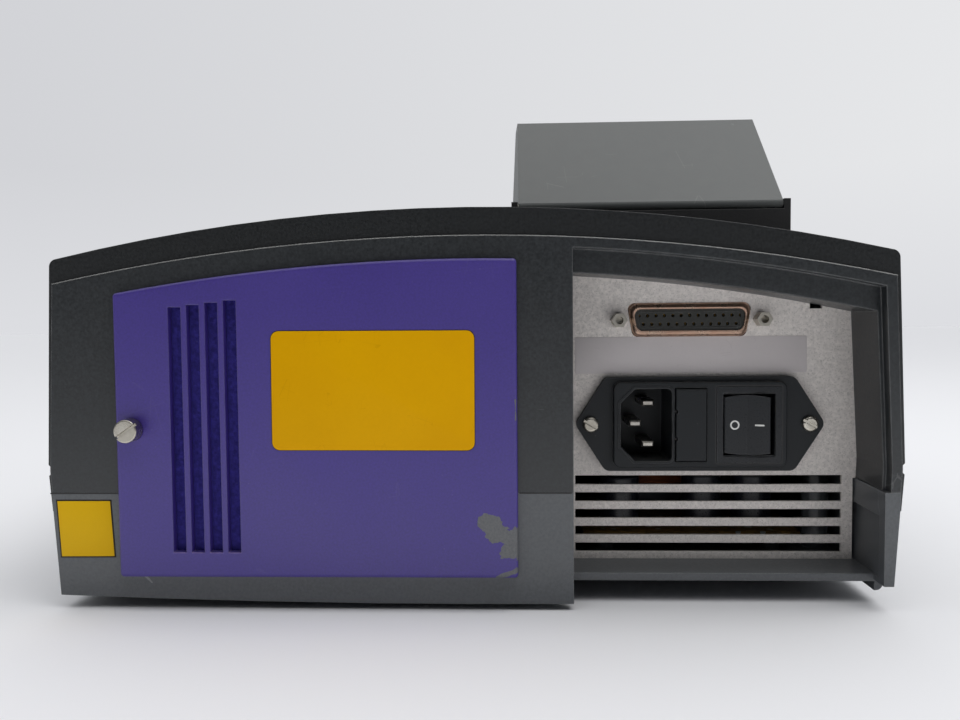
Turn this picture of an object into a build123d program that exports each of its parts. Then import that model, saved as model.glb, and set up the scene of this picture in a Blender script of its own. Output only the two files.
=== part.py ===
from build123d import *
import os
from math import cos, radians, sin, tan

# Bench spectrophotometer. X runs to the right as seen from the operator's side,
# Y runs from the operator's side to the rear face, and Z runs up from the bench.

# Case, outside
case_half = 133.4
case_depth = 382.0
crown_z = 125.2
eaves_z = 110.3
eaves_tuck = 2.4
eaves_round = 2.5
belt_z = 44.0
groove = 1.3
skirt_z = 31.0
skirt_tuck = 1.0
base_top_tuck = 1.8
base_foot_tuck = 3.5
base_corner_z = 4.4
base_corner_round = 2.0
belly_z = 2.0
nose_z = 50.0
nose_round = 9.0
deck_tilt = 24.0
front_round = 18.0
wall = 2.8
fit = 0.3
run = 0.05
over = 5.0

# Rear face
cover_proud = 3.0
thumb_head_height = 5.0
rim_thick = 1.2
rim_side = 1.2
rim_crown_z = 116.6
rim_eaves_z = 103.0
seam_z = 36.9
seam_tuck = 1.6
plate_thick = 4.0
plate_inset = 1.4
lip_thick = 3.0

# Connector recess in the rear face
recess_width = 100.8
recess_depth = 24.5
recess_band = 3.3
recess_flare = 3.2
recess_side = 4.2
tunnel_side = 2.0
tunnel_wall = 1.8
hood_step = 2.5
hood_drop = 10.8
sill_back = 8.0
leg_foot_z = 7.9

# Floor of the base, feet and case screws
floor_low = 7.2
floor_z = 9.6
upstand_thick = 2.0
foot_radius = 8.5
foot_inset = 29.4
foot_front = 32.0
foot_rear = 38.0
foot_edge = 1.2
screw_post_inset = 12.9
screw_post_front = 55.0
screw_post_rear = 42.0
screw_post_radius = 4.5
screw_radius = 1.5
screw_head_radius = 3.0
screw_head_height = 1.8
screw_length = 20.0

# Lamp access cover and its thumb screw
lamp_inset = 24.0
lamp_gap = 17.2
lamp_foot_z = 11.0
lamp_crown_drop = 7.3
lamp_edge = 1.1
lamp_corner = 1.2
lamp_open_inset = 10.4
lamp_open_margin = 7.9
lamp_open_low = 18.0
lamp_open_high = 99.0
louvre_inset = 19.45
louvre_pitch = 5.75
louvre_width = 4.0
louvre_count = 4
louvre_low = 18.9
louvre_high = 95.3
louvre_rise = 0.65
peg_inset = 4.0
peg_low_z = 27.0
peg_high_z = 94.0
peg_radius = 1.6
peg_length = 5.5
thumb_inset = 5.2
thumb_z = 57.5
thumb_radius = 3.6
thumb_shank_radius = 1.5
thumb_shank_length = 11.0
thumb_slot = 0.9
thumb_slot_depth = 1.4
thumb_boss_radius = 3.8
thumb_boss_length = 7.0

# Connector panel
panel_thick = 1.2
vent_inset = 10.2
vent_margin = 2.2
vent_low = 13.45
vent_pitch = 5.72
vent_height = 3.1
vent_count = 5
notch_inset = 19.2
notch_width = 4.0
notch_z = 94.7
notch_height = 2.8

# Interface socket
socket_inset = 40.1
socket_z = 90.0
jack_spacing = 47.04
socket_cut_width = 41.3
socket_cut_height = 11.3
socket_flange_width = 53.0
socket_flange_height = 12.5
socket_shell_width = 38.4
socket_shell_height = 8.4
socket_slope = 10.0
socket_corner = 2.2
socket_sheet = 0.6
socket_proud = 1.6
socket_core_depth = 9.0
contact_pitch = 2.77
contact_row = 1.42
contact_radius = 0.55
contact_depth = 5.0
contact_columns = 13
jack_radius = 2.6
jack_length = 5.2
jack_hole_radius = 1.25
jack_hole_depth = 4.0
jack_stem_radius = 1.4

# Power inlet
inlet_inset = 43.0
inlet_z = 55.5
inlet_width = 82.0
inlet_height = 31.3
inlet_flat = 62.0
inlet_flange = 3.0
flange_corner = 3.0
bezel_width = 56.4
bezel_height = 28.2
bezel_proud = 2.6
bezel_edge = 1.0
bezel_corner = 2.4
inlet_body_width = 57.0
inlet_body_height = 26.6
inlet_body_depth = 32.0
mains_reach = 26.2
mains_width = 16.7
mains_height = 23.8
mains_corner = 4.7
mains_round = 1.6
mains_depth = 20.0
blade_inset = 9.5
blade_earth_inset = 5.3
blade_pitch = 6.9
blade_width = 4.0
blade_thick = 2.0
blade_length = 16.0
blade_tail = 10.0
drawer_step = 1.2
drawer_width = 10.0
drawer_height = 23.8
drawer_length = 26.0
drawer_face = 1.0
drawer_grip = 1.2
drawer_nick_rise = 4.5
fuse_radius = 2.6
fuse_length = 20.0
fuse_cap_length = 5.0
fuse_glass_radius = 2.3
switch_step = 3.3
switch_width = 21.1
switch_frame = 2.2
rocker_width = 15.1
rocker_height = 19.6
rocker_depth = 11.0
rocker_rise = 2.0
rocker_taper = 2.6
rocker_valley = 1.5
rocker_arch = 0.8
rocker_tilt = 8.0
rocker_pin = 1.3
inlet_screw_spacing = 71.7
inlet_screw_head = 2.6
inlet_screw_head_height = 1.7
inlet_screw_radius = 1.4
inlet_screw_length = 9.0

# Sample compartment
well_inset = 16.3
well_half = 51.6
well_setback = 60.0
well_length = 71.0
well_wall = 3.0
well_top_z = 133.5
well_low_z = 66.0
well_floor_z = 69.0
beam_y_forward = 35.0
beam_z = 84.0
beam_hole = 4.0
roll_radius = 1.8
hinge_drop = 0.7
cheek_top = 0.9
cheek_length = 4.4
lid_half = 48.9
lid_flare = 0.0377
lid_slope = 43.0
lid_top_z = 173.0
lid_draft = 1.6
lid_sheet = 2.4
lid_reach = 59.5
lid_front_lean = 8.0
lid_edge = 2.0
lid_pin_radius = 0.8
lid_pin_length = 4.6
lid_bore_depth = 2.6
lid_grip_width = 34.0
lid_grip_height = 6.0
lid_grip_depth = 2.4

# Cell holder
holder_width = 29.0
holder_depth = 30.0
holder_height = 40.0
cell_side = 12.8
cell_floor = 5.0
holder_beam = 3.0
holder_edge = 0.8
holder_foot = 6.0
holder_foot_thick = 3.0
cell_corner = 0.9

# Optical bench
bench_tuck = 4.1
bench_side = 29.4
bench_reach = 88.0
bench_step_side = 14.1
bench_step_reach = 26.0
bench_rear_gap = 20.0
bench_low = 60.0
bench_z = 66.0
bench_leg = 10.0
bench_leg_inset = 13.0
bench_leg_step = 8.0
bench_leg_side = 12.0
bench_leg_setback = 10.0
bench_leg_rear_gap = 11.0
bench_edge = 2.0

# Lamps
uv_reach = 34.5
uv_rear_gap = 26.0
uv_radius = 13.0
uv_height = 42.0
uv_dome = 4.0
uv_neck_radius = 9.0
uv_snout_radius = 6.0
uv_snout_length = 6.0
mount_width = 44.0
mount_depth = 40.0
mount_thick = 4.0
mount_ear = 6.0
mount_ear_height = 20.0
visible_reach = 2.5
visible_rear_gap = 19.0
visible_radius = 5.0
visible_bulb_height = 14.0
visible_base_radius = 7.5
visible_base_height = 12.0

# Monochromator
wheel_reach = 18.5
wheel_rise = 13.0
bracket_step = 3.0
wheel_radius = 17.0
wheel_thick = 2.0
wheel_hub = 4.0
wheel_hub_length = 2.2
wheel_filter_ring = 13.0
wheel_filter_radius = 3.2
wheel_filter_count = 6
wheel_shaft_radius = 1.5
wheel_shaft_length = 12.0
bracket_width = 22.0
bracket_thick = 3.0
bracket_height = 46.0
wheel_motor_radius = 9.5
wheel_motor_length = 17.0
grating_side = 32.0
grating_setback = 32.0
table_radius = 13.0
table_thick = 3.0
table_rise = 4.0
table_shaft_radius = 2.5
table_shaft_length = 22.0
grating_width = 20.0
grating_thick = 6.0
grating_height = 18.0
grating_turn = 30.0
grating_motor_radius = 17.5
grating_motor_height = 24.0
mirror_radius = 12.0
mirror_thick = 5.0
mirror_hollow = 1.2
mirror_post = 6.0
mirror_turn = 60.0
far_mirror_side = 20.0
far_mirror_step = 6.0
near_mirror_reach = 42.0
near_mirror_setback = 22.0
slit_width = 16.0
slit_height = 28.0
slit_sheet = 1.5
slit_gap = 1.0
slit_gap_height = 9.0
exit_slit_reach = 11.0
entry_slit_reach = 50.5
entry_slit_step = 20.0
lens_reach = 7.4
lens_radius = 7.0
lens_bulge = 1.6
lens_edge = 1.4
lens_wall = 5.0
lens_wall_half = 12.0
lens_wall_height = 30.0

# Detector
detector_gap = 0.3
diode_radius = 4.5
diode_length = 3.6
diode_window_radius = 2.5
diode_window_depth = 0.6
detector_board_thick = 1.6
detector_board_side = 30.0
detector_peg = 2.0
detector_peg_reach = 12.0

# Cooling fan
fan_inset = 36.4
fan_z = 59.5
fan_side = 50.0
fan_thick = 10.0
fan_setback = 7.0
fan_bore = 23.4
fan_tip = 22.6
fan_hub = 10.5
fan_hub_length = 7.0
fan_stator = 9.0
fan_stator_thick = 2.0
fan_strut = 2.2
fan_strut_count = 4
fan_screw_pitch = 42.0
fan_blades = 7
fan_blade_thick = 1.4
fan_blade_pitch = 38.0
fan_pin = 1.5
fan_corner = 4.0
fan_post = 7.0

# Main board and power supply
board_thick = 1.6
board_side = 35.4
board_front = 34.0
board_gap = 15.0
board_post_height = 8.0
board_post_radius = 3.2
board_post_inset = 8.0
supply_inset = 21.4
supply_width = 74.0
supply_rear_gap = 31.0
supply_length = 84.0
supply_post_height = 6.0
core_inset = 36.0
core_setback = 26.0
core_width = 48.0
core_depth = 38.0
core_height = 36.0
core_leg = 9.0
coil_margin = 4.0
chip_height = 3.0
capacitor_radius = 7.0
capacitor_height = 17.0
capacitor_pitch = 18.0
main_chip_side = 28.0
store_chip_side = 20.0
clock_chip_width = 14.0
clock_chip_depth = 10.0
connector_height = 9.0
connector_depth = 9.0
power_connector_width = 34.0
power_connector_depth = 12.0
lamp_connector_width = 30.0
data_connector_width = 40.0
power_row_share = 4 / 15
main_chip_row_share = 7 / 15
store_chip_row_share = 19 / 30
clock_chip_row_share = 11 / 15
lamp_row_share = 13 / 15
data_row_share = 22 / 25
can_row_share = 31 / 150
far_can_row_share = 101 / 150
main_chip_offset = 40.0
store_chip_offset = 20.0
clock_chip_inset = 38.0
power_connector_inset = 36.0
lamp_connector_inset = 28.0
board_can_inset = 18.0
supply_can_inset = 12.0
supply_can_gap = 18.0
supply_far_can_inset = 14.0
supply_far_can_gap = 14.0

# Operator's deck: fascia, display and keys
fascia_side = 17.4
fascia_low = 18.0
fascia_length = 120.0
fascia_thick = 2.2
fascia_corner = 7.0
fascia_edge = 1.0
deck_open_inset = 5.0
window_side = 10.0
window_gap = 38.0
window_drop = 34.0
window_height = 42.0
window_rebate = 1.0
window_margin = 5.0
window_corner = 2.0
glass_thick = 3.0
glass_gap = 0.3
display_board_inset = 2.0
display_board_level = 9.0
display_glass_height = 34.0
display_glass_thick = 6.5
display_post_radius = 1.4
display_post_margin = 3.4
key_pitch = 19.0
key_side = 18.0
key_drop = 18.0
key_width = 14.0
key_height = 12.0
action_inset = 54.0
action_pitch = 32.0
action_drop = 3.0
action_width = 24.0
key_corner = 2.5
key_proud = 2.0
key_flange = 1.0
key_flange_thick = 1.2
key_gap = 0.1
key_clear = 0.25
key_stem = 5.0
key_stem_length = 2.9
key_travel = 1.2
key_round = 0.8
key_board_level = 7.0
dome_radius = 3.0
dome_clear = 0.15
key_field_side = 14.0
key_field_outer = 13.0
key_field_low = 13.0
key_field_high = 11.0
action_field_side = 20.0
action_field_low = 10.0
action_field_high = 14.0
key_post_radius = 2.4
key_post_inner = 11.5
key_post_outer = 10.5
key_post_low = 8.0
key_post_high = 6.0
action_post_left = 17.0
action_post_right = 20.0
action_post_rise = 2.0

# Places that follow from the sizes above
eaves_half = case_half - eaves_tuck
skirt_half = case_half - skirt_tuck
base_top_half = case_half - base_top_tuck
base_foot_half = case_half - base_foot_tuck
seam_half = case_half - seam_tuck
rear = (case_depth + cover_proud + thumb_head_height) / 2 - cover_proud - thumb_head_height
front = rear - case_depth
cover_back = rear - rim_thick
foot_x = case_half - foot_inset
screw_post_x = case_half - screw_post_inset
recess_left = recess_width - case_half
panel_y = rear - recess_depth
panel_inner_y = panel_y - panel_thick
vent_right = vent_inset - case_half
vent_left = recess_left - vent_margin
notch_x = notch_inset - case_half
socket_x = recess_left - socket_inset
inlet_x = recess_left - inlet_inset
mains_left = inlet_x + mains_reach
mains_right = mains_left - mains_width
blade_x = mains_left - blade_inset
blade_earth_x = mains_left - blade_earth_inset
drawer_left = mains_right - drawer_step
drawer_right = drawer_left - drawer_width
switch_left = drawer_right - switch_step
lamp_left = case_half - lamp_inset
lamp_right = recess_left + lamp_gap
lamp_open_left = lamp_left - lamp_open_inset
lamp_open_right = lamp_right + lamp_open_margin
louvre_first = lamp_left - louvre_inset
peg_x = lamp_right + peg_inset
thumb_x = lamp_left - thumb_inset
fan_x = lamp_left - fan_inset
well_left = well_inset - case_half
well_x = well_left + well_half
well_right = well_x + well_half
well_rear = rear - well_setback
well_front = well_rear - well_length
beam_y = well_rear - beam_y_forward
lens_x = well_right + lens_reach
exit_slit_x = lens_x + exit_slit_reach
wheel_x = lens_x + wheel_reach
wheel_z = beam_z + wheel_rise
bracket_x = wheel_x + bracket_step
entry_slit_x = lens_x + entry_slit_reach
entry_slit_y = beam_y + entry_slit_step
bench_left = well_left + bench_tuck
bench_right = case_half - bench_side
bench_front = beam_y - bench_reach
bench_step_x = well_right - bench_step_side
bench_step_y = beam_y + bench_step_reach
bench_rear = rear - bench_rear_gap
grating_x = bench_right - grating_side
grating_y = bench_front + grating_setback
far_mirror = (bench_right - far_mirror_side, beam_y + far_mirror_step)
near_mirror = (grating_x - near_mirror_reach, bench_front + near_mirror_setback)
uv_x = lens_x + uv_reach
uv_y = bench_rear - uv_rear_gap
visible_x = lens_x + visible_reach
visible_y = bench_rear - visible_rear_gap
board_right = case_half - board_side
board_left = -board_right
board_y = front + board_front
board_length = bench_front - board_gap - board_y
supply_left = supply_inset - case_half
supply_right = supply_left + supply_width
supply_rear_y = rear - supply_rear_gap
supply_front_y = supply_rear_y - supply_length
core_x = supply_left + core_inset
core_y = supply_front_y + core_setback
fascia_half = case_half - fascia_side
fascia_high = fascia_low + fascia_length
key_x = [fascia_half - key_side - i * key_pitch for i in (2, 1, 0)]
key_s = [fascia_high - key_drop - i * key_pitch for i in range(4)]
window_left = window_side - fascia_half
window_width = key_x[0] - window_gap - window_left
window_x = window_left + window_width / 2
window_s = fascia_high - window_drop
action_x = [window_left + action_inset + i * action_pitch for i in range(2)]
action_s = key_s[-1] - action_drop
hinge_y = well_rear - roll_radius - run
hinge_z = well_top_z - hinge_drop
deck_cos = cos(radians(deck_tilt))
deck_sin = sin(radians(deck_tilt))
os.makedirs("parts", exist_ok=True)


def facing_front(y):
    """Plane at depth y with X across and Z up, extruding towards the operator."""
    return Plane(origin=(0, y, 0), x_dir=(1, 0, 0), z_dir=(0, -1, 0))


def facing_side(x):
    """Plane at width x with Y across and Z up, extruding to the right."""
    return Plane(origin=(x, 0, 0), x_dir=(0, 1, 0), z_dir=(1, 0, 0))


def deck(level):
    """Plane parallel to the sloping deck, level above it, measured from its front edge."""
    origin = (0, front - level * deck_sin, nose_z + level * deck_cos)
    return Plane(origin=origin, x_dir=(1, 0, 0), z_dir=(0, -deck_sin, deck_cos))


def brick(low, high, mode=Mode.ADD):
    """Box between two opposite corners in the part that is being built."""
    middle = tuple((a + b) / 2 for a, b in zip(low, high))
    with Locations(middle):
        Box(*(b - a for a, b in zip(low, high)), mode=mode)


def rod(plane, spots, radius, length, mode=Mode.ADD):
    """Round bars of one size that start at the spots of a plane."""
    with BuildSketch(plane) as ends:
        with Locations(*spots):
            Circle(radius)
    extrude(ends.sketch, amount=length, mode=mode)


def finish(piece, name):
    """Label a piece and write it to its own file."""
    piece.part.label = name
    export_step(piece.part, f"parts/{name}.step")


def upper_form(inset, back, low):
    """Outside form of the upper moulding, drawn in by inset and ending at back."""
    with BuildPart() as form:
        with BuildSketch(facing_front(back)) as section:
            with BuildLine():
                eaves = (eaves_half - inset, eaves_z - inset)
                flank = [(case_half - inset, belt_z), (skirt_half - inset, skirt_z)]
                if low < skirt_z:
                    flank.append((skirt_half - inset, low))
                other = [(-x, z) for x, z in reversed([eaves] + flank)]
                ThreePointArc(other[-1], (0, crown_z - inset), eaves)
                Polyline(eaves, *flank, *other)
            make_face()
            fillet(section.vertices().group_by(Axis.Y)[-1], eaves_round)
        extrude(amount=back - front)
        shift_y = inset * deck_sin
        nose_top = nose_z - inset * deck_cos + (inset - shift_y) * deck_sin / deck_cos
        crest = crown_z + over
        crest_y = front + inset + (crest - nose_top) * deck_cos / deck_sin
        with BuildSketch(Plane.YZ) as profile:
            with BuildLine():
                Polyline(
                    (front + inset, low - over),
                    (front + inset, nose_top),
                    (crest_y, crest),
                    (back + over, crest),
                    (back + over, low - over),
                    close=True,
                )
            make_face()
            nose_corner = profile.vertices().sort_by_distance((front + inset, nose_top, 0))[0]
            fillet(nose_corner, nose_round - inset)
        extrude(amount=2 * case_half, both=True, mode=Mode.INTERSECT)
        with BuildSketch(Plane.XY.offset(low - over)) as plan:
            with Locations((0, (front + inset + back + over) / 2)):
                Rectangle(2 * (case_half - inset), back + over - front - inset)
            fillet(plan.vertices().group_by(Axis.Y)[0], front_round - inset)
        extrude(amount=2 * crown_z, mode=Mode.INTERSECT)
    return form.part


def lower_form(inset, low, high, drop=0):
    """Outside form of the base between two levels, drawn in by inset, its belly lowered by drop."""
    with BuildPart() as form:
        with BuildSketch(facing_front(rear - inset)) as section:
            with BuildLine():
                foot = (base_foot_half - inset, base_corner_z - drop)
                top = (base_top_half - inset, skirt_z)
                other_foot = (-base_foot_half + inset, base_corner_z - drop)
                ThreePointArc(foot, (0, belly_z - drop), other_foot)
                Polyline(other_foot, (-base_top_half + inset, skirt_z), top, foot)
            make_face()
            fillet(section.vertices().group_by(Axis.Y)[0], base_corner_round)
        extrude(amount=case_depth - 2 * inset)
        with BuildSketch(Plane.XY.offset(low)) as plan:
            with Locations((0, (front + rear) / 2)):
                Rectangle(2 * (case_half - inset), case_depth - 2 * inset)
            fillet(plan.vertices().group_by(Axis.Y)[0], front_round - inset)
        extrude(amount=high - low, mode=Mode.INTERSECT)
    return form.part


def upper_rim(drop, side, low=seam_z):
    """Outline of the rear rim above the seam, lowered by drop and narrowed by side."""
    eaves = (eaves_half - rim_side - side, rim_eaves_z - drop)
    belt = (case_half - rim_side - side, belt_z)
    foot = (seam_half - side, low)
    left = [(-x, z) for x, z in (foot, belt, eaves)]
    with BuildLine() as outline:
        ThreePointArc(left[2], (0, rim_crown_z - drop), eaves)
        Polyline(eaves, belt, foot, *left)
    make_face(outline.line)


def recess_face(drop, side, left, low=seam_z):
    """Part of the rear rim's outline that lies over the connector recess."""
    upper_rim(drop, side, low)
    width = left + case_half + over
    with Locations(((left - case_half - over) / 2, 0)):
        Rectangle(width, 2 * crown_z + 2 * over, mode=Mode.INTERSECT)


def lower_rim(inset):
    """Outline of the rear rim below the seam."""
    seam = (seam_half - inset, seam_z)
    top = (base_top_half - inset, skirt_z)
    foot = (base_foot_half - inset, base_corner_z + inset)
    left = [(-x, z) for x, z in (seam, top, foot)]
    with BuildLine() as outline:
        Polyline(left[2], left[1], left[0], seam, top, foot)
        ThreePointArc(foot, (0, belly_z + inset), left[2])
    make_face(outline.line)


def arched(x, drop):
    """Height at x of an arch that runs drop below the rear rim."""
    span = eaves_half - rim_side
    sag = rim_crown_z - rim_eaves_z
    radius = (span**2 + sag**2) / (2 * sag)
    return rim_crown_z - drop - radius + (radius**2 - x**2) ** 0.5


def lamp_outline():
    """Outline of the lamp cover, square at its sides and arched at its top."""
    middle_x = (lamp_left + lamp_right) / 2
    tops = [(x, arched(x, lamp_crown_drop)) for x in (lamp_left, middle_x, lamp_right)]
    with BuildLine() as outline:
        ThreePointArc(*tops)
        Polyline(tops[2], (lamp_right, lamp_foot_z), (lamp_left, lamp_foot_z), tops[0])
    make_face(outline.line)


# Base: tub with a raised floor, a tucked upstand, posts and the lower rear face
post_spots = [(x, y) for x in (-screw_post_x, screw_post_x)
              for y in (front + screw_post_front, rear - screw_post_rear)]
foot_spots = [(x, y) for x in (-foot_x, foot_x) for y in (front + foot_front, rear - foot_rear)]
board_spots = [(x, y)
               for x in (board_left + board_post_inset, board_right - board_post_inset)
               for y in (front + board_front + board_post_inset,
                         front + board_front + board_length - board_post_inset)]
supply_spots = [(x, y)
                for x in (supply_left + board_post_inset, supply_right - board_post_inset)
                for y in (supply_front_y + board_post_inset, supply_rear_y - board_post_inset)]
fan_left = fan_x - fan_side / 2
fan_low = fan_z - fan_side / 2
fan_back = rear - fan_setback

with BuildPart() as base_pan:
    add(lower_form(0, 0, skirt_z))
    add(lower_form(wall, floor_z, skirt_z + over), mode=Mode.SUBTRACT)
    add(lower_form(wall, -over, floor_low, over), mode=Mode.SUBTRACT)
    # upstand that tucks inside the upper moulding
    upstand_out = base_top_half - (skirt_half - wall - fit)
    add(lower_form(upstand_out, skirt_z - upstand_thick, skirt_z))
    with BuildSketch(Plane.XY.offset(skirt_z - upstand_thick)) as ring:
        half = base_top_half - upstand_out
        with Locations((0, (front + rear) / 2)):
            Rectangle(2 * half, case_depth - 2 * (wall + fit))
        fillet(ring.vertices().group_by(Axis.Y)[0], front_round - wall - fit)
        offset(amount=-upstand_thick, mode=Mode.SUBTRACT)
    extrude(amount=seam_z - skirt_z + upstand_thick)
    add(lower_form(upstand_out + upstand_thick, floor_z, skirt_z + over), mode=Mode.SUBTRACT)
    # lower rear face, carried to the seam
    rear_zone = (-case_half - over, rear - plate_thick, floor_z)
    brick(rear_zone, (case_half + over, rear + over, crown_z), mode=Mode.SUBTRACT)
    with BuildSketch(facing_front(rear)):
        lower_rim(0)
    extrude(amount=rim_thick)
    with BuildSketch(facing_front(rear - rim_thick)):
        lower_rim(plate_inset)
    extrude(amount=plate_thick - rim_thick)
    # connector recess: the rear face stops at its left wall and the sill stands back
    leg_inner_x = wall - base_foot_half
    brick((leg_inner_x, rear - sill_back, -over), (recess_left, rear + over, crown_z),
          mode=Mode.SUBTRACT)
    brick((-case_half - over, rear - sill_back, -over),
          (leg_inner_x + over, rear + over, leg_foot_z), mode=Mode.SUBTRACT)
    brick((recess_left, panel_y, floor_z), (recess_left + tunnel_wall, rear - plate_thick, seam_z))
    # posts for the screws, the boards and the fan
    rod(Plane.XY.offset(floor_low), post_spots, screw_post_radius, skirt_z - floor_low)
    rod(Plane.XY.offset(floor_low), board_spots, board_post_radius,
        floor_z - floor_low + board_post_height)
    rod(Plane.XY.offset(floor_low), supply_spots, board_post_radius,
        floor_z - floor_low + supply_post_height)
    for x in (fan_left, fan_left + fan_side - fan_post):
        brick((x, fan_back - fan_thick, floor_low), (x + fan_post, fan_back, fan_low))
    # openings
    brick((lamp_open_right, fan_back + fit, lamp_open_low),
          (lamp_open_left, rear + over, seam_z + over), mode=Mode.SUBTRACT)
    rod(facing_front(rear + over), [(peg_x, peg_low_z)], peg_radius + run,
        over + plate_thick + over, mode=Mode.SUBTRACT)
    rod(Plane.XY.offset(floor_low - over), post_spots, screw_radius + run, crown_z,
        mode=Mode.SUBTRACT)
    rod(Plane.XY.offset(floor_low), post_spots, screw_head_radius + fit, screw_head_height,
        mode=Mode.SUBTRACT)
finish(base_pan, "base_pan")

# Feet
with BuildPart() as feet:
    rod(Plane.XY, foot_spots, foot_radius, floor_low)
    fillet(feet.edges().group_by(Axis.Z)[0], foot_edge)
finish(feet, "feet")

# Upper moulding: arched shell with a sloping deck
deck_low, deck_high = fascia_low + deck_open_inset, fascia_high - deck_open_inset
with BuildPart() as top_cover:
    add(upper_form(0, cover_back, skirt_z))
    add(upper_form(wall, cover_back - lip_thick, skirt_z - over), mode=Mode.SUBTRACT)
    with BuildSketch(facing_front(cover_back + over)):
        upper_rim(plate_inset - fit, plate_inset - fit, skirt_z - over)
    extrude(amount=over + lip_thick + fit, mode=Mode.SUBTRACT)
    # bosses that meet the posts of the base
    with BuildPart(mode=Mode.PRIVATE) as bosses:
        rod(Plane.XY.offset(skirt_z), post_spots, screw_post_radius, crown_z)
        add(upper_form(wall / 2, cover_back, skirt_z), mode=Mode.INTERSECT)
    add(bosses.part)
    rod(Plane.XY.offset(skirt_z - over), post_spots, screw_radius - run, screw_length,
        mode=Mode.SUBTRACT)
    # openings for the fascia and for the sample compartment
    with BuildSketch(deck(over)):
        with Locations((0, (deck_low + deck_high) / 2)):
            Rectangle(2 * (fascia_half - deck_open_inset), deck_high - deck_low)
    extrude(amount=-over - 2 * wall, mode=Mode.SUBTRACT)
    brick((well_left - fit, well_front - fit, well_low_z),
          (well_right + fit, well_rear + fit, crown_z + over), mode=Mode.SUBTRACT)
    # groove along the flanks
    for side in (-1, 1):
        with BuildSketch(facing_front(cover_back + over)):
            with Locations((side * case_half, belt_z)):
                Rectangle(groove * 2, groove * 2, rotation=45)
        extrude(amount=case_depth + 2 * over, mode=Mode.SUBTRACT)
finish(top_cover, "top_cover")

# Upper rear moulding with the tunnel round the connector recess
with BuildPart() as rear_frame:
    with BuildSketch(facing_front(rear)):
        upper_rim(0, 0)
    extrude(amount=rim_thick)
    with BuildSketch(facing_front(rear - rim_thick)):
        upper_rim(plate_inset, plate_inset)
    extrude(amount=plate_thick - rim_thick)
    with BuildSketch(facing_front(rear - plate_thick)):
        recess_face(recess_band - tunnel_wall, tunnel_side, recess_left + tunnel_wall)
    extrude(amount=hood_step)
    with BuildSketch(facing_front(rear - plate_thick - hood_step)):
        recess_face(hood_drop - tunnel_wall, tunnel_side, recess_left + tunnel_wall)
    extrude(amount=recess_depth - plate_thick - hood_step)
    rod(facing_front(rear - plate_thick), [(thumb_x, thumb_z)], thumb_boss_radius,
        thumb_boss_length)
    with BuildSketch(facing_front(rear + over)):
        recess_face(recess_band, recess_flare, recess_left, seam_z - over)
    extrude(amount=over + plate_thick, mode=Mode.SUBTRACT)
    with BuildSketch(facing_front(rear)):
        recess_face(hood_drop, recess_side, recess_left, seam_z - over)
    extrude(amount=recess_depth + over, mode=Mode.SUBTRACT)
    brick((lamp_open_right, rear - plate_thick - over, seam_z - over),
          (lamp_open_left, rear + over, lamp_open_high), mode=Mode.SUBTRACT)
    rod(facing_front(rear + over), [(peg_x, peg_high_z)], peg_radius + run,
        over + plate_thick + over, mode=Mode.SUBTRACT)
    rod(facing_front(rear + over), [(thumb_x, thumb_z)], thumb_shank_radius + run,
        over + plate_thick + thumb_boss_length - wall, mode=Mode.SUBTRACT)
finish(rear_frame, "rear_frame")

# Lamp access cover: arched plate with four louvre slots and two locating pegs
with BuildPart() as lamp_cover:
    with BuildSketch(facing_front(rear + cover_proud)) as plate_face:
        lamp_outline()
        fillet(plate_face.vertices(), lamp_corner)
    extrude(amount=cover_proud)
    fillet(lamp_cover.edges().group_by(Axis.Y)[-1], lamp_edge)
    for i in range(louvre_count):
        x = louvre_first - i * louvre_pitch
        brick((x - louvre_width / 2, rear - over, louvre_low),
              (x + louvre_width / 2, rear + 2 * over, louvre_high + i * louvre_rise),
              mode=Mode.SUBTRACT)
    rod(facing_front(rear), [(peg_x, peg_low_z), (peg_x, peg_high_z)], peg_radius, peg_length)
    rod(facing_front(rear + 2 * over), [(thumb_x, thumb_z)], thumb_shank_radius + run,
        4 * over, mode=Mode.SUBTRACT)
finish(lamp_cover, "lamp_cover")

# Thumb screw, slotted, held captive in the cover
with BuildPart() as lamp_cover_screw:
    rod(facing_front(rear + cover_proud + thumb_head_height), [(thumb_x, thumb_z)],
        thumb_radius, thumb_head_height - fit)
    fillet(lamp_cover_screw.edges().group_by(Axis.Y)[-1], thumb_slot / 2)
    rod(facing_front(rear + cover_proud + fit), [(thumb_x, thumb_z)], thumb_shank_radius,
        thumb_shank_length)
    with BuildSketch(facing_front(rear + cover_proud + thumb_head_height)):
        with Locations((thumb_x, thumb_z)):
            Rectangle(thumb_radius * 3, thumb_slot, rotation=-35)
    extrude(amount=thumb_slot_depth, mode=Mode.SUBTRACT)
finish(lamp_cover_screw, "lamp_cover_screw")


def socket_outline(width, height):
    """Tapered outline of the interface socket, wider at the top."""
    lean = height * tan(radians(socket_slope))
    with BuildSketch(mode=Mode.PRIVATE) as outline:
        with BuildLine():
            Polyline(
                (-width / 2, height / 2), (width / 2, height / 2),
                (width / 2 - lean, -height / 2), (-width / 2 + lean, -height / 2),
                close=True,
            )
        make_face()
        fillet(outline.vertices(), socket_corner)
    with Locations((socket_x, socket_z)):
        add(outline.sketch_local)


def inlet_outline(width, height, flat):
    """Six-sided outline of the inlet's flange."""
    with BuildSketch(mode=Mode.PRIVATE) as outline:
        with BuildLine():
            Polyline(
                (-width / 2, 0), (-flat / 2, height / 2), (flat / 2, height / 2),
                (width / 2, 0), (flat / 2, -height / 2), (-flat / 2, -height / 2),
                close=True,
            )
        make_face()
        fillet(outline.vertices(), flange_corner)
    with Locations((inlet_x, inlet_z)):
        add(outline.sketch_local)


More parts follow.
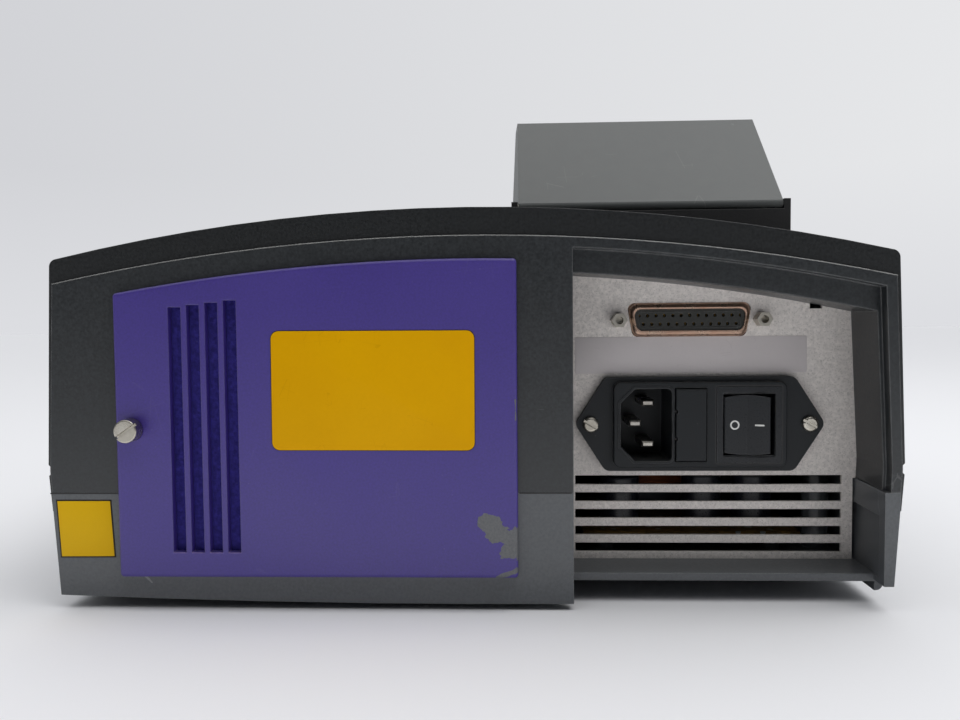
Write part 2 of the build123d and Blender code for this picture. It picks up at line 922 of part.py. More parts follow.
# Connector panel: bent sheet with the vents, the socket and the inlet cut out
jack_spots = [(socket_x + side * jack_spacing / 2, socket_z) for side in (-1, 1)]
inlet_screw_spots = [(inlet_x + side * inlet_screw_spacing / 2, inlet_z) for side in (-1, 1)]
with BuildPart() as connector_panel:
    with BuildSketch(facing_front(panel_y)):
        recess_face(hood_drop - tunnel_wall, tunnel_side, recess_left + tunnel_wall)
        low_x = -base_foot_half + wall + fit
        high_x = recess_left + tunnel_wall
        with Locations(((low_x + high_x) / 2, (floor_z + seam_z) / 2)):
            Rectangle(high_x - low_x, seam_z - floor_z)
        with Locations((notch_x, notch_z)):
            Rectangle(notch_width, notch_height, mode=Mode.SUBTRACT)
        for i in range(vent_count):
            with Locations(((vent_left + vent_right) / 2, vent_low + i * vent_pitch)):
                Rectangle(vent_left - vent_right, vent_height, mode=Mode.SUBTRACT)
    extrude(amount=panel_thick)
    with BuildSketch(facing_front(panel_y + over)):
        socket_outline(socket_cut_width, socket_cut_height)
        with Locations((inlet_x, inlet_z)):
            Rectangle(inlet_body_width + 2 * fit, inlet_body_height + 2 * fit)
    extrude(amount=over + panel_thick + over, mode=Mode.SUBTRACT)
    rod(facing_front(panel_y + over), jack_spots, jack_stem_radius + run, 4 * over,
        mode=Mode.SUBTRACT)
    rod(facing_front(panel_y + over), inlet_screw_spots, inlet_screw_radius + run, 4 * over,
        mode=Mode.SUBTRACT)
finish(connector_panel, "connector_panel")

# Interface socket: drawn shell, moulded core with its contacts, and two jack nuts
shell_front = panel_y + socket_proud
with BuildPart() as interface_shell:
    with BuildSketch(facing_front(panel_inner_y)):
        with Locations((socket_x, socket_z)):
            Rectangle(socket_flange_width, socket_flange_height)
    extrude(amount=socket_sheet)
    with BuildSketch(facing_front(shell_front)):
        socket_outline(socket_shell_width, socket_shell_height)
    extrude(amount=shell_front - panel_inner_y)
    with BuildSketch(facing_front(shell_front + over)):
        inner = 2 * socket_sheet
        socket_outline(socket_shell_width - inner, socket_shell_height - inner)
    extrude(amount=over + socket_core_depth, mode=Mode.SUBTRACT)
    rod(facing_front(panel_y), jack_spots, jack_stem_radius + run, 2 * over, mode=Mode.SUBTRACT)
finish(interface_shell, "interface_shell")

with BuildPart() as interface_core:
    with BuildSketch(facing_front(shell_front - socket_sheet)):
        core_inset = 2 * (socket_sheet + run)
        socket_outline(socket_shell_width - core_inset, socket_shell_height - core_inset)
    extrude(amount=socket_core_depth)
    top_row = [(socket_x + (i - (contact_columns - 1) / 2) * contact_pitch, socket_z + contact_row)
               for i in range(contact_columns)]
    low_row = [(x + contact_pitch / 2, z - 2 * contact_row) for x, z in top_row[:-1]]
    rod(facing_front(shell_front), top_row + low_row, contact_radius,
        contact_depth, mode=Mode.SUBTRACT)
finish(interface_core, "interface_core")

with BuildPart() as jack_nuts:
    with BuildSketch(facing_front(panel_y + jack_length)):
        with Locations(*jack_spots):
            RegularPolygon(jack_radius, 6)
    extrude(amount=jack_length)
    rod(facing_front(panel_y), jack_spots, jack_stem_radius, panel_thick + 2 * over)
    rod(facing_front(panel_y + jack_length), jack_spots, jack_hole_radius, jack_hole_depth,
        mode=Mode.SUBTRACT)
finish(jack_nuts, "jack_nuts")

# Power inlet: one moulding holds the mains socket, the fuse drawer and the switch
flange_y = panel_y + inlet_flange
bezel_y = flange_y + bezel_proud
inlet_back_y = panel_inner_y - inlet_body_depth
mains_top, mains_foot = inlet_z + mains_height / 2, inlet_z - mains_height / 2
drawer_middle = (drawer_left + drawer_right) / 2
fuse_back = bezel_y - drawer_length + 2 * drawer_grip
switch_right = switch_left - switch_width
rocker_x = (switch_left + switch_right) / 2
rocker_y = bezel_y - rocker_depth / 2
with BuildPart() as inlet_body:
    with BuildSketch(facing_front(flange_y)):
        inlet_outline(inlet_width, inlet_height, inlet_flat)
    extrude(amount=inlet_flange)
    with BuildSketch(facing_front(bezel_y)) as bezel_face:
        with Locations((inlet_x + (inlet_body_width - bezel_width) / 2, inlet_z)):
            RectangleRounded(bezel_width, bezel_height, bezel_corner)
    extrude(amount=bezel_proud)
    fillet(inlet_body.edges().group_by(Axis.Y)[-1], bezel_edge / 2)
    with BuildSketch(facing_front(panel_y)):
        with Locations((inlet_x, inlet_z)):
            Rectangle(inlet_body_width, inlet_body_height)
    extrude(amount=panel_thick + inlet_body_depth)
    with BuildSketch(facing_front(bezel_y + over)) as mains_hole:
        with BuildLine():
            Polyline(
                (mains_left - mains_corner, mains_top), (mains_right, mains_top),
                (mains_right, mains_foot), (mains_left - mains_corner, mains_foot),
                (mains_left, mains_foot + mains_corner), (mains_left, mains_top - mains_corner),
                close=True,
            )
        make_face()
        fillet(mains_hole.vertices().group_by(Axis.X)[0], mains_round)
    extrude(amount=over + mains_depth, mode=Mode.SUBTRACT)
    brick((drawer_right - fit, bezel_y - drawer_length - fit, inlet_z - drawer_height / 2 - fit),
          (drawer_left + fit, bezel_y + over, inlet_z + drawer_height / 2 + fit),
          mode=Mode.SUBTRACT)
    brick((switch_right + switch_frame, bezel_y - rocker_depth - over,
           inlet_z - rocker_height / 2 - fit),
          (switch_left - switch_frame, bezel_y + over, inlet_z + rocker_height / 2 + fit),
          mode=Mode.SUBTRACT)
    rod(Plane.XY.offset(inlet_z - rocker_height / 2 - rocker_pin - fit),
        [(rocker_x, rocker_y)], rocker_pin + run, rocker_height + 2 * (rocker_pin + fit),
        mode=Mode.SUBTRACT)
    rod(facing_front(flange_y + over), inlet_screw_spots, inlet_screw_radius + run, 4 * over,
        mode=Mode.SUBTRACT)
    for z in (-blade_pitch, 0, blade_pitch):
        x = blade_earth_x if z == 0 else blade_x
        brick((x - blade_width / 2, inlet_back_y - over, inlet_z + z - blade_thick / 2),
              (x + blade_width / 2, bezel_y, inlet_z + z + blade_thick / 2), mode=Mode.SUBTRACT)
finish(inlet_body, "inlet_body")

with BuildPart() as inlet_blades:
    blade_front = bezel_y - mains_depth + blade_length
    for z in (-blade_pitch, 0, blade_pitch):
        x = blade_earth_x if z == 0 else blade_x
        brick((x - blade_width / 2, inlet_back_y - blade_tail / 2, inlet_z + z - blade_thick / 2),
              (x + blade_width / 2, blade_front, inlet_z + z + blade_thick / 2))
    chamfer(inlet_blades.edges().group_by(Axis.Y)[-1], blade_thick / 4)
finish(inlet_blades, "inlet_blades")

with BuildPart() as fuse_drawer:
    half = drawer_height / 2
    brick((drawer_right, bezel_y - drawer_length, inlet_z - half),
          (drawer_left, bezel_y + drawer_face, inlet_z + half))
    fillet(fuse_drawer.edges().group_by(Axis.Y)[-1], drawer_face / 2)
    nick = drawer_grip / 2
    for z in (inlet_z - drawer_nick_rise, inlet_z + drawer_nick_rise):
        brick((drawer_left - nick, bezel_y - drawer_grip, z - nick),
              (drawer_left + over, bezel_y + drawer_face + over, z + nick), mode=Mode.SUBTRACT)
    brick((drawer_middle - fuse_radius - run, fuse_back - run, inlet_z - half - over),
          (drawer_middle + fuse_radius + run, fuse_back + fuse_length + run,
           inlet_z + fuse_radius + run), mode=Mode.SUBTRACT)
finish(fuse_drawer, "fuse_drawer")

# Fuse: glass tube with a metal cap at each end, carried by the drawer
with BuildPart() as fuse:
    rod(facing_front(fuse_back + fuse_length), [(drawer_middle, inlet_z)], fuse_radius,
        fuse_cap_length)
    rod(facing_front(fuse_back + fuse_cap_length), [(drawer_middle, inlet_z)], fuse_radius,
        fuse_cap_length)
    rod(facing_front(fuse_back + fuse_length - fuse_cap_length), [(drawer_middle, inlet_z)],
        fuse_glass_radius, fuse_length - 2 * fuse_cap_length)
finish(fuse, "fuse")

with BuildPart() as power_rocker:
    low = inlet_z - rocker_height / 2
    with BuildSketch(Plane.XY.offset(low)) as rocker_face:
        with BuildLine():
            reach = rocker_width / 2
            inner_y = -rocker_depth / 2 + rocker_pin
            rise_y = rocker_depth / 2 + rocker_rise
            Polyline(
                (-reach + rocker_taper, inner_y), (-reach, rise_y), (0, rise_y - rocker_valley),
                (reach, rise_y), (reach - rocker_taper, inner_y), close=True,
            )
        make_face()
    extrude(amount=rocker_height)
    with BuildSketch(facing_front(rocker_height)):
        with BuildLine():
            crest, corner = rocker_height / 2, rocker_height / 2 - rocker_arch
            ThreePointArc((-reach, inlet_z + corner), (0, inlet_z + crest),
                          (reach, inlet_z + corner))
            Line((reach, inlet_z + corner), (reach, inlet_z - corner))
            ThreePointArc((reach, inlet_z - corner), (0, inlet_z - crest),
                          (-reach, inlet_z - corner))
            Line((-reach, inlet_z - corner), (-reach, inlet_z + corner))
        make_face()
    extrude(amount=2 * rocker_height, mode=Mode.INTERSECT)
    rod(Plane.XY.offset(low - rocker_pin), [(0, 0)], rocker_pin, rocker_height + 2 * rocker_pin)
    fillet(power_rocker.edges().filter_by(Axis.Z).group_by(Axis.Y)[-1], rocker_pin / 2)

# The rocker rests with its off side pressed in
with BuildPart() as tilted_rocker:
    with Locations(Location((rocker_x, rocker_y, 0), (0, 0, -rocker_tilt))):
        add(power_rocker.part)
finish(tilted_rocker, "power_rocker")

with BuildPart() as inlet_screws:
    rod(facing_front(flange_y + inlet_screw_head_height), inlet_screw_spots, inlet_screw_head,
        inlet_screw_head_height)
    fillet(inlet_screws.edges().group_by(Axis.Y)[-1], inlet_screw_head_height / 2)
    rod(facing_front(flange_y), inlet_screw_spots, inlet_screw_radius, inlet_screw_length)
    for x, z in inlet_screw_spots:
        with BuildSketch(facing_front(flange_y + inlet_screw_head_height)):
            with Locations((x, z)):
                Rectangle(inlet_screw_head * 3, inlet_screw_head / 3, rotation=30)
        extrude(amount=inlet_screw_head_height / 2, mode=Mode.SUBTRACT)
finish(inlet_screws, "inlet_screws")

with BuildPart() as case_screws:
    rod(Plane.XY.offset(floor_low), post_spots, screw_head_radius, screw_head_height)
    rod(Plane.XY.offset(floor_low), post_spots, screw_radius - 2 * run, screw_length)
    for x, y in post_spots:
        for turn in (0, 90):
            with BuildSketch(Plane.XY.offset(floor_low)):
                with Locations((x, y)):
                    Rectangle(screw_head_radius, screw_radius / 2, rotation=turn)
            extrude(amount=screw_head_height / 2, mode=Mode.SUBTRACT)
finish(case_screws, "case_screws")

# Sample compartment: open box with beam holes, hinge cheeks and pegs for the detector
cheek_inner = lid_half + fit
detector_x = well_left - diode_length - detector_gap
peg_spots = [(beam_y + dy, beam_z + dz)
             for dy in (-detector_peg_reach, detector_peg_reach)
             for dz in (-detector_peg_reach, detector_peg_reach)]
with BuildPart() as sample_well:
    brick((well_left, well_front, well_low_z), (well_right, well_rear, well_top_z))
    for low, high in ((well_left, well_x - cheek_inner), (well_x + cheek_inner, well_right)):
        brick((low, well_rear - cheek_length, well_low_z),
              (high, well_rear, well_top_z + cheek_top))
    brick((well_left + well_wall, well_front + well_wall, well_floor_z),
          (well_right - well_wall, well_rear - well_wall, well_top_z + over), mode=Mode.SUBTRACT)
    brick((well_x - cheek_inner, well_rear - cheek_length, hinge_z - roll_radius - fit),
          (well_x + cheek_inner, well_rear + over, well_top_z + over), mode=Mode.SUBTRACT)
    rod(facing_side(detector_x), peg_spots, detector_peg, well_left - detector_x)
    rod(facing_side(well_left - over), [(beam_y, beam_z)], beam_hole, 3 * well_half,
        mode=Mode.SUBTRACT)
    rod(facing_side(well_left - over), [(hinge_y, hinge_z)], lid_pin_radius, 3 * well_half,
        mode=Mode.SUBTRACT)
finish(sample_well, "sample_well")

# Lid: hollow hood that slopes down to a rolled hinge edge at the rear
lid_low_z = well_top_z + fit
lid_height = lid_top_z - lid_low_z
slope_cos = cos(radians(lid_slope))
slope_sin = sin(radians(lid_slope))


def lid_plan(level, inset):
    """Trapezoid of the lid at a height above its lower edge, wider towards the operator."""
    rear_half = lid_half - lid_draft * level / lid_height - inset
    front_half = rear_half + lid_flare * well_length
    with BuildSketch(Plane((well_x, 0, lid_low_z + level))) as plan:
        with BuildLine():
            Polyline(
                (-rear_half, well_rear), (rear_half, well_rear),
                (front_half, well_front), (-front_half, well_front), close=True,
            )
        make_face()
    return plan.sketch


def lid_form(inset, low):
    """Solid form of the lid, drawn in by inset and starting at a level near its lower edge."""
    tangent_y = hinge_y + (roll_radius - inset) * slope_sin
    tangent_z = hinge_z + (roll_radius - inset) * slope_cos
    top_z = lid_top_z - inset
    top_rear_y = tangent_y - (top_z - tangent_z) * slope_cos / slope_sin
    heel_y = tangent_y - (lid_low_z + low - tangent_z) * slope_cos / slope_sin
    top_front_y = hinge_y - lid_reach + inset
    toe_y = top_front_y - lid_front_lean
    with BuildPart() as form:
        loft([lid_plan(-over, inset), lid_plan(lid_height, inset)], ruled=True)
        with BuildSketch(Plane.YZ) as profile:
            with BuildLine():
                Polyline(
                    (heel_y, lid_low_z + low), (top_rear_y, top_z), (top_front_y, top_z),
                    (toe_y, lid_low_z + low), close=True,
                )
            make_face()
        extrude(amount=case_half, both=True, mode=Mode.INTERSECT)
    return form.part


with BuildPart() as sample_lid:
    add(lid_form(0, 0))
    rounded = sample_lid.edges().filter_by(Axis.X).group_by(Axis.Z)[-1]
    fillet(rounded, lid_edge)
    rod(facing_side(well_x - lid_half), [(hinge_y, hinge_z)], roll_radius, 2 * lid_half)
    toe = hinge_y - lid_reach - lid_front_lean
    brick((well_x - lid_grip_width / 2, toe - lid_grip_depth, lid_low_z),
          (well_x + lid_grip_width / 2, toe + lid_sheet, lid_low_z + lid_grip_height))
    add(lid_form(lid_sheet, -over), mode=Mode.SUBTRACT)
    for start in (well_x - lid_half, well_x + lid_half - lid_bore_depth):
        rod(facing_side(start), [(hinge_y, hinge_z)], lid_pin_radius + run, lid_bore_depth,
            mode=Mode.SUBTRACT)
finish(sample_lid, "sample_lid")

with BuildPart() as lid_pins:
    for start in (well_left, well_right - lid_pin_length):
        rod(facing_side(start), [(hinge_y, hinge_z)], lid_pin_radius, lid_pin_length)
finish(lid_pins, "lid_pins")

# Cell holder: block with a square bore, light windows and a foot flange
with BuildPart() as cell_holder:
    with Locations((well_x, beam_y, well_floor_z + holder_height / 2)):
        Box(holder_width, holder_depth, holder_height)
    chamfer(cell_holder.edges().group_by(Axis.Z)[-1], holder_edge)
    with Locations((well_x, beam_y, well_floor_z + holder_foot_thick / 2)):
        Box(holder_width + 2 * holder_foot, holder_depth, holder_foot_thick)
    top = well_floor_z + holder_height
    with BuildSketch(Plane((well_x, beam_y, top))):
        Rectangle(cell_side, cell_side)
        with GridLocations(cell_side, cell_side, 2, 2):
            Circle(cell_corner)
    extrude(amount=cell_floor - holder_height, mode=Mode.SUBTRACT)
    rod(facing_side(well_x - holder_width), [(beam_y, beam_z)], holder_beam,
        2 * holder_width, mode=Mode.SUBTRACT)
    rod(facing_front(beam_y + holder_depth), [(well_x, beam_z)], holder_beam,
        2 * holder_depth, mode=Mode.SUBTRACT)
finish(cell_holder, "cell_holder")

# Optical bench: plate on legs, with a lens wall and a bracket for the filter wheel
leg_right = bench_right - bench_leg_side
leg_front = bench_front + bench_leg_setback
leg_rear = bench_rear - bench_leg_rear_gap
leg_spots = [(bench_left + bench_leg_inset, leg_front), (leg_right, leg_front),
             (bench_step_x + bench_leg_step, leg_rear), (leg_right, leg_rear)]
with BuildPart() as optical_bench:
    brick((bench_left, bench_front, bench_low), (bench_right, bench_step_y, bench_z))
    brick((bench_step_x, bench_step_y, bench_low), (bench_right, bench_rear, bench_z))
    for x, y in leg_spots:
        brick((x - bench_leg / 2, y - bench_leg / 2, floor_z),
              (x + bench_leg / 2, y + bench_leg / 2, bench_low))
    brick((lens_x - lens_wall / 2, beam_y - lens_wall_half, bench_z),
          (lens_x + lens_wall / 2, beam_y + lens_wall_half, bench_z + lens_wall_height))
    brick((bracket_x, beam_y - bracket_width / 2, bench_z),
          (bracket_x + bracket_thick, beam_y + bracket_width / 2, bench_z + bracket_height))
    rod(facing_side(lens_x - lens_wall), [(beam_y, beam_z)], lens_radius, 2 * lens_wall,
        mode=Mode.SUBTRACT)
    rod(facing_side(bracket_x - run), [(beam_y, beam_z)], beam_hole, bracket_thick + 2 * run,
        mode=Mode.SUBTRACT)
    rod(facing_side(bracket_x - run), [(beam_y, wheel_z)], wheel_shaft_radius + run,
        bracket_thick + 2 * run, mode=Mode.SUBTRACT)
    rod(Plane.XY.offset(bench_low - run), [(grating_x, grating_y)], table_shaft_radius + run,
        bench_z - bench_low + 2 * run, mode=Mode.SUBTRACT)
finish(optical_bench, "optical_bench")

# Condenser lens, convex on both faces
bulge_radius = (lens_radius**2 + lens_bulge**2) / (2 * lens_bulge)
with BuildPart() as beam_lens:
    rod(facing_side(lens_x - lens_edge / 2 - lens_bulge), [(beam_y, beam_z)], lens_radius,
        lens_edge + 2 * lens_bulge)
    for side in (-1, 1):
        shift = side * (lens_edge / 2 + lens_bulge - bulge_radius)
        with Locations((lens_x + shift, beam_y, beam_z)):
            Sphere(bulge_radius, mode=Mode.INTERSECT)
finish(beam_lens, "beam_lens")

# Filter wheel on its motor's shaft
filter_spots = [(beam_y + wheel_filter_ring * sin(radians(i * 360 / wheel_filter_count)),
                 wheel_z - wheel_filter_ring * cos(radians(i * 360 / wheel_filter_count)))
                for i in range(wheel_filter_count)]
with BuildPart() as filter_wheel:
    rod(facing_side(wheel_x), [(beam_y, wheel_z)], wheel_radius, wheel_thick)
    rod(facing_side(wheel_x - wheel_hub_length), [(beam_y, wheel_z)], wheel_hub,
        wheel_hub_length)
    rod(facing_side(wheel_x), [(beam_y, wheel_z)], wheel_shaft_radius, wheel_shaft_length)
    rod(facing_side(wheel_x - run), filter_spots, wheel_filter_radius,
        wheel_thick + 2 * run, mode=Mode.SUBTRACT)
finish(filter_wheel, "filter_wheel")

with BuildPart() as filter_motor:
    motor_x = bracket_x + bracket_thick
    rod(facing_side(motor_x), [(beam_y, wheel_z)], wheel_motor_radius, wheel_motor_length)
    fillet(filter_motor.edges().group_by(Axis.X)[-1], bench_edge / 2)
    rod(facing_side(motor_x - run), [(beam_y, wheel_z)], wheel_shaft_radius + run,
        wheel_shaft_length - bracket_thick, mode=Mode.SUBTRACT)
finish(filter_motor, "filter_motor")

# Grating on a turntable, driven by a motor under the bench
with BuildPart() as grating_table:
    table_z = bench_z + table_rise
    rod(Plane.XY.offset(table_z), [(grating_x, grating_y)], table_radius, table_thick)
    chamfer(grating_table.edges().group_by(Axis.Z)[-1], holder_edge / 2)
    rod(Plane.XY.offset(table_z - table_shaft_length), [(grating_x, grating_y)],
        table_shaft_radius, table_shaft_length)
finish(grating_table, "grating_table")

with BuildPart() as grating:
    with Locations(Location((grating_x, grating_y, table_z + table_thick + grating_height / 2),
                            (0, 0, grating_turn))):
        Box(grating_width, grating_thick, grating_height)
    chamfer(grating.edges().filter_by(Axis.Z), holder_edge / 2)
finish(grating, "grating")

with BuildPart() as grating_motor:
    rod(Plane.XY.offset(bench_low - grating_motor_height), [(grating_x, grating_y)],
        grating_motor_radius, grating_motor_height)
    fillet(grating_motor.edges().group_by(Axis.Z)[0], bench_edge)
    rod(Plane.XY.offset(table_z - table_shaft_length - fit), [(grating_x, grating_y)],
        table_shaft_radius + run, table_shaft_length, mode=Mode.SUBTRACT)
finish(grating_motor, "grating_motor")

# Concave mirrors on posts
hollow_radius = (mirror_radius**2 + mirror_hollow**2) / (2 * mirror_hollow)
with BuildPart() as mirrors:
    for (x, y), turn in ((far_mirror, mirror_turn - 180), (near_mirror, mirror_turn)):
        toward = (cos(radians(turn)), sin(radians(turn)), 0)
        centre = (x, y, beam_z)
        with BuildPart(mode=Mode.PRIVATE) as disc:
            with BuildSketch(Plane(origin=centre, z_dir=toward)):
                Circle(mirror_radius)
            extrude(amount=-mirror_thick)
            reach = hollow_radius - mirror_hollow
            with Locations((x + reach * toward[0], y + reach * toward[1], beam_z)):
                Sphere(hollow_radius, mode=Mode.SUBTRACT)
        add(disc.part)
        middle = mirror_thick - mirror_post / 2
        post_height = beam_z - bench_z - mirror_radius + mirror_thick
        with Locations(Location((x - middle * toward[0], y - middle * toward[1],
                                 bench_z + post_height / 2), (0, 0, turn))):
            Box(mirror_post / 2, mirror_post, post_height)
finish(mirrors, "mirrors")

# Slit plates
with BuildPart() as slits:
    brick((exit_slit_x - slit_sheet / 2, beam_y - slit_width / 2, bench_z),
          (exit_slit_x + slit_sheet / 2, beam_y + slit_width / 2, bench_z + slit_height))
    brick((entry_slit_x - slit_width / 2, entry_slit_y - slit_sheet / 2, bench_z),
          (entry_slit_x + slit_width / 2, entry_slit_y + slit_sheet / 2, bench_z + slit_height))
    half_gap, half_height = slit_gap / 2, slit_gap_height / 2
    brick((exit_slit_x - slit_sheet, beam_y - half_gap, beam_z - half_height),
          (exit_slit_x + slit_sheet, beam_y + half_gap, beam_z + half_height),
          mode=Mode.SUBTRACT)
    brick((entry_slit_x - half_gap, entry_slit_y - slit_sheet, beam_z - half_height),
          (entry_slit_x + half_gap, entry_slit_y + slit_sheet, beam_z + half_height),
          mode=Mode.SUBTRACT)
finish(slits, "slits")

# Ultraviolet lamp in its clamp, and the visible lamp beside it
with BuildPart() as uv_lamp_mount:
    brick((uv_x - mount_width / 2, uv_y - mount_depth / 2, bench_z),
          (uv_x + mount_width / 2, uv_y + mount_depth / 2, bench_z + mount_thick))
    for x in (uv_x - mount_width / 2, uv_x + mount_width / 2 - mount_ear):
        brick((x, uv_y - mount_ear, bench_z),
              (x + mount_ear, uv_y + mount_ear, bench_z + mount_ear_height))
    rod(Plane.XY.offset(bench_z), [(uv_x, uv_y)], uv_neck_radius, mount_thick,
        mode=Mode.SUBTRACT)
    with BuildSketch(Plane.XY.offset(bench_z + mount_thick)):
        with Locations((uv_x, uv_y)):
            with GridLocations(mount_width - mount_ear, mount_depth - mount_ear, 2, 2):
                Circle(screw_radius)
    extrude(amount=-mount_thick / 2, mode=Mode.SUBTRACT)
finish(uv_lamp_mount, "uv_lamp_mount")

with BuildPart() as uv_lamp:
    lamp_low = bench_z + mount_thick
    rod(Plane.XY.offset(lamp_low), [(uv_x, uv_y)], uv_radius, uv_height)
    fillet(uv_lamp.edges().group_by(Axis.Z)[-1], uv_dome)
    rod(Plane.XY.offset(bench_z), [(uv_x, uv_y)], uv_neck_radius, mount_thick)
    rod(facing_front(uv_y), [(uv_x, lamp_low + uv_height / 2)], uv_snout_radius,
        uv_radius + uv_snout_length)
finish(uv_lamp, "uv_lamp")

with BuildPart() as visible_lamp:
    rod(Plane.XY.offset(bench_z), [(visible_x, visible_y)], visible_base_radius,
        visible_base_height)
    chamfer(visible_lamp.edges().group_by(Axis.Z)[-1], holder_edge)
    rod(Plane.XY.offset(bench_z + visible_base_height), [(visible_x, visible_y)],
        visible_radius, visible_bulb_height)
    with Locations((visible_x, visible_y, bench_z + visible_base_height + visible_bulb_height)):
        Sphere(visible_radius)
finish(visible_lamp, "visible_lamp")

# Detector behind the compartment's far wall
with BuildPart() as detector_board:
    brick((detector_x - detector_board_thick, beam_y - detector_board_side / 2,
           beam_z - detector_board_side / 2),
          (detector_x, beam_y + detector_board_side / 2, beam_z + detector_board_side / 2))
    brick((detector_x - detector_board_thick - chip_height, beam_y - detector_peg_reach / 2,
           beam_z - detector_peg_reach),
          (detector_x - detector_board_thick, beam_y + detector_peg_reach / 2, beam_z))
finish(detector_board, "detector_board")

with BuildPart() as photodiode:
    rod(facing_side(detector_x), [(beam_y, beam_z)], diode_radius, diode_length)
    rod(facing_side(detector_x + diode_length - diode_window_depth), [(beam_y, beam_z)],
        diode_window_radius, diode_length, mode=Mode.SUBTRACT)
finish(photodiode, "photodiode")

# Cooling fan
fan_front = fan_back - fan_thick
with BuildPart() as fan_frame:
    with BuildSketch(facing_front(fan_back)):
        with Locations((fan_x, fan_z)):
            RectangleRounded(fan_side, fan_side, fan_corner)
            Circle(fan_bore, mode=Mode.SUBTRACT)
            with GridLocations(fan_screw_pitch, fan_screw_pitch, 2, 2):
                Circle(screw_radius, mode=Mode.SUBTRACT)
    extrude(amount=fan_thick)
    rod(facing_front(fan_front + fan_stator_thick), [(fan_x, fan_z)], fan_stator,
        fan_stator_thick)
    for turn in range(fan_strut_count):
        with BuildSketch(facing_front(fan_front + fan_stator_thick)):
            with Locations(Location((fan_x, fan_z, 0), (0, 0, turn * 360 / fan_strut_count))):
                with Locations((fan_bore / 2, 0)):
                    Rectangle(fan_bore + fan_strut, fan_strut)
        extrude(amount=fan_stator_thick)
    rod(facing_front(fan_front + fan_stator_thick + over), [(fan_x, fan_z)], fan_pin + run,
        2 * over, mode=Mode.SUBTRACT)
finish(fan_frame, "fan_frame")

rotor_front = fan_front + fan_stator_thick + fit
blade_chord = (fan_hub_length - fan_blade_thick) / sin(radians(fan_blade_pitch))
with BuildPart() as fan_rotor:
    for i in range(fan_blades):
        with Locations(Location((fan_x, rotor_front + fan_hub_length / 2, fan_z),
                                (0, i * 360 / fan_blades, 0))):
            with Locations(Location(((fan_hub + fan_tip) / 2, 0, 0), (fan_blade_pitch, 0, 0))):
                Box(fan_tip - fan_hub + fan_blade_thick, fan_blade_thick, blade_chord)
    rod(facing_front(rotor_front + fan_hub_length), [(fan_x, fan_z)], fan_tip, fan_hub_length,
        mode=Mode.INTERSECT)
    rod(facing_front(rotor_front + fan_hub_length), [(fan_x, fan_z)], fan_hub, fan_hub_length)
    fillet(fan_rotor.edges().filter_by(GeomType.CIRCLE).group_by(Axis.Y)[-1], fan_blade_thick / 2)
    rod(facing_front(rotor_front), [(fan_x, fan_z)], fan_pin, fan_stator_thick + fit)
finish(fan_rotor, "fan_rotor")

# Main board with chips and a row of sockets
board_low_z = floor_z + board_post_height
board_top_z = board_low_z + board_thick
board_blocks = (
    (-main_chip_offset, main_chip_row_share, main_chip_side, main_chip_side, chip_height),
    (store_chip_offset, store_chip_row_share, store_chip_side, store_chip_side, chip_height),
    (board_right - power_connector_inset, power_row_share, power_connector_width,
     power_connector_depth, connector_height),
    (board_left + lamp_connector_inset, lamp_row_share, lamp_connector_width, connector_depth,
     connector_height),
    (0, data_row_share, data_connector_width, connector_depth, connector_height),
    (board_right - clock_chip_inset, clock_chip_row_share, clock_chip_width, clock_chip_depth,
     chip_height),
)
can_row = board_y + can_row_share * board_length
far_can_row = board_y + far_can_row_share * board_length
board_cans = ((board_left + board_can_inset, can_row),
              (board_left + board_can_inset + capacitor_pitch, can_row),
              (board_right - board_can_inset, far_can_row))
with BuildPart() as main_board:
    brick((board_left, board_y, board_low_z),
          (board_right, board_y + board_length, board_top_z))
    for x, row_share, width, depth, height in board_blocks:
        y = board_y + row_share * board_length
        brick((x - width / 2, y - depth / 2, board_top_z),
              (x + width / 2, y + depth / 2, board_top_z + height))
    rod(Plane.XY.offset(board_top_z), board_cans, capacitor_radius, capacitor_height)
finish(main_board, "main_board")

# Power supply board and the mains transformer that stands on it
supply_low_z = floor_z + supply_post_height
supply_top_z = supply_low_z + board_thick
supply_can_x = supply_left + supply_can_inset
supply_can_y = supply_rear_y - supply_can_gap
supply_cans = ((supply_can_x, supply_can_y), (supply_can_x + capacitor_pitch, supply_can_y),
               (supply_right - supply_far_can_inset, supply_rear_y - supply_far_can_gap))
with BuildPart() as supply_board:
    brick((supply_left, supply_front_y, supply_low_z),
          (supply_right, supply_rear_y, supply_top_z))
    rod(Plane.XY.offset(supply_top_z), supply_cans, capacitor_radius, capacitor_height)
finish(supply_board, "supply_board")

with BuildPart() as mains_transformer:
    core_low = (core_x - core_width / 2, core_y - core_depth / 2, supply_top_z)
    core_high = (core_x + core_width / 2, core_y + core_depth / 2, supply_top_z + core_height)
    brick(core_low, core_high)
    brick((core_x - core_width / 2 + core_leg, core_y - core_depth / 2 - coil_margin,
           supply_top_z + core_leg),
          (core_x + core_width / 2 - core_leg, core_y + core_depth / 2 + coil_margin,
           supply_top_z + core_height - core_leg))
    fillet(mains_transformer.edges().filter_by(Axis.Z).group_by(Axis.Y)[0], coil_margin / 2)
    fillet(mains_transformer.edges().filter_by(Axis.Z).group_by(Axis.Y)[-1], coil_margin / 2)
finish(mains_transformer, "mains_transformer")

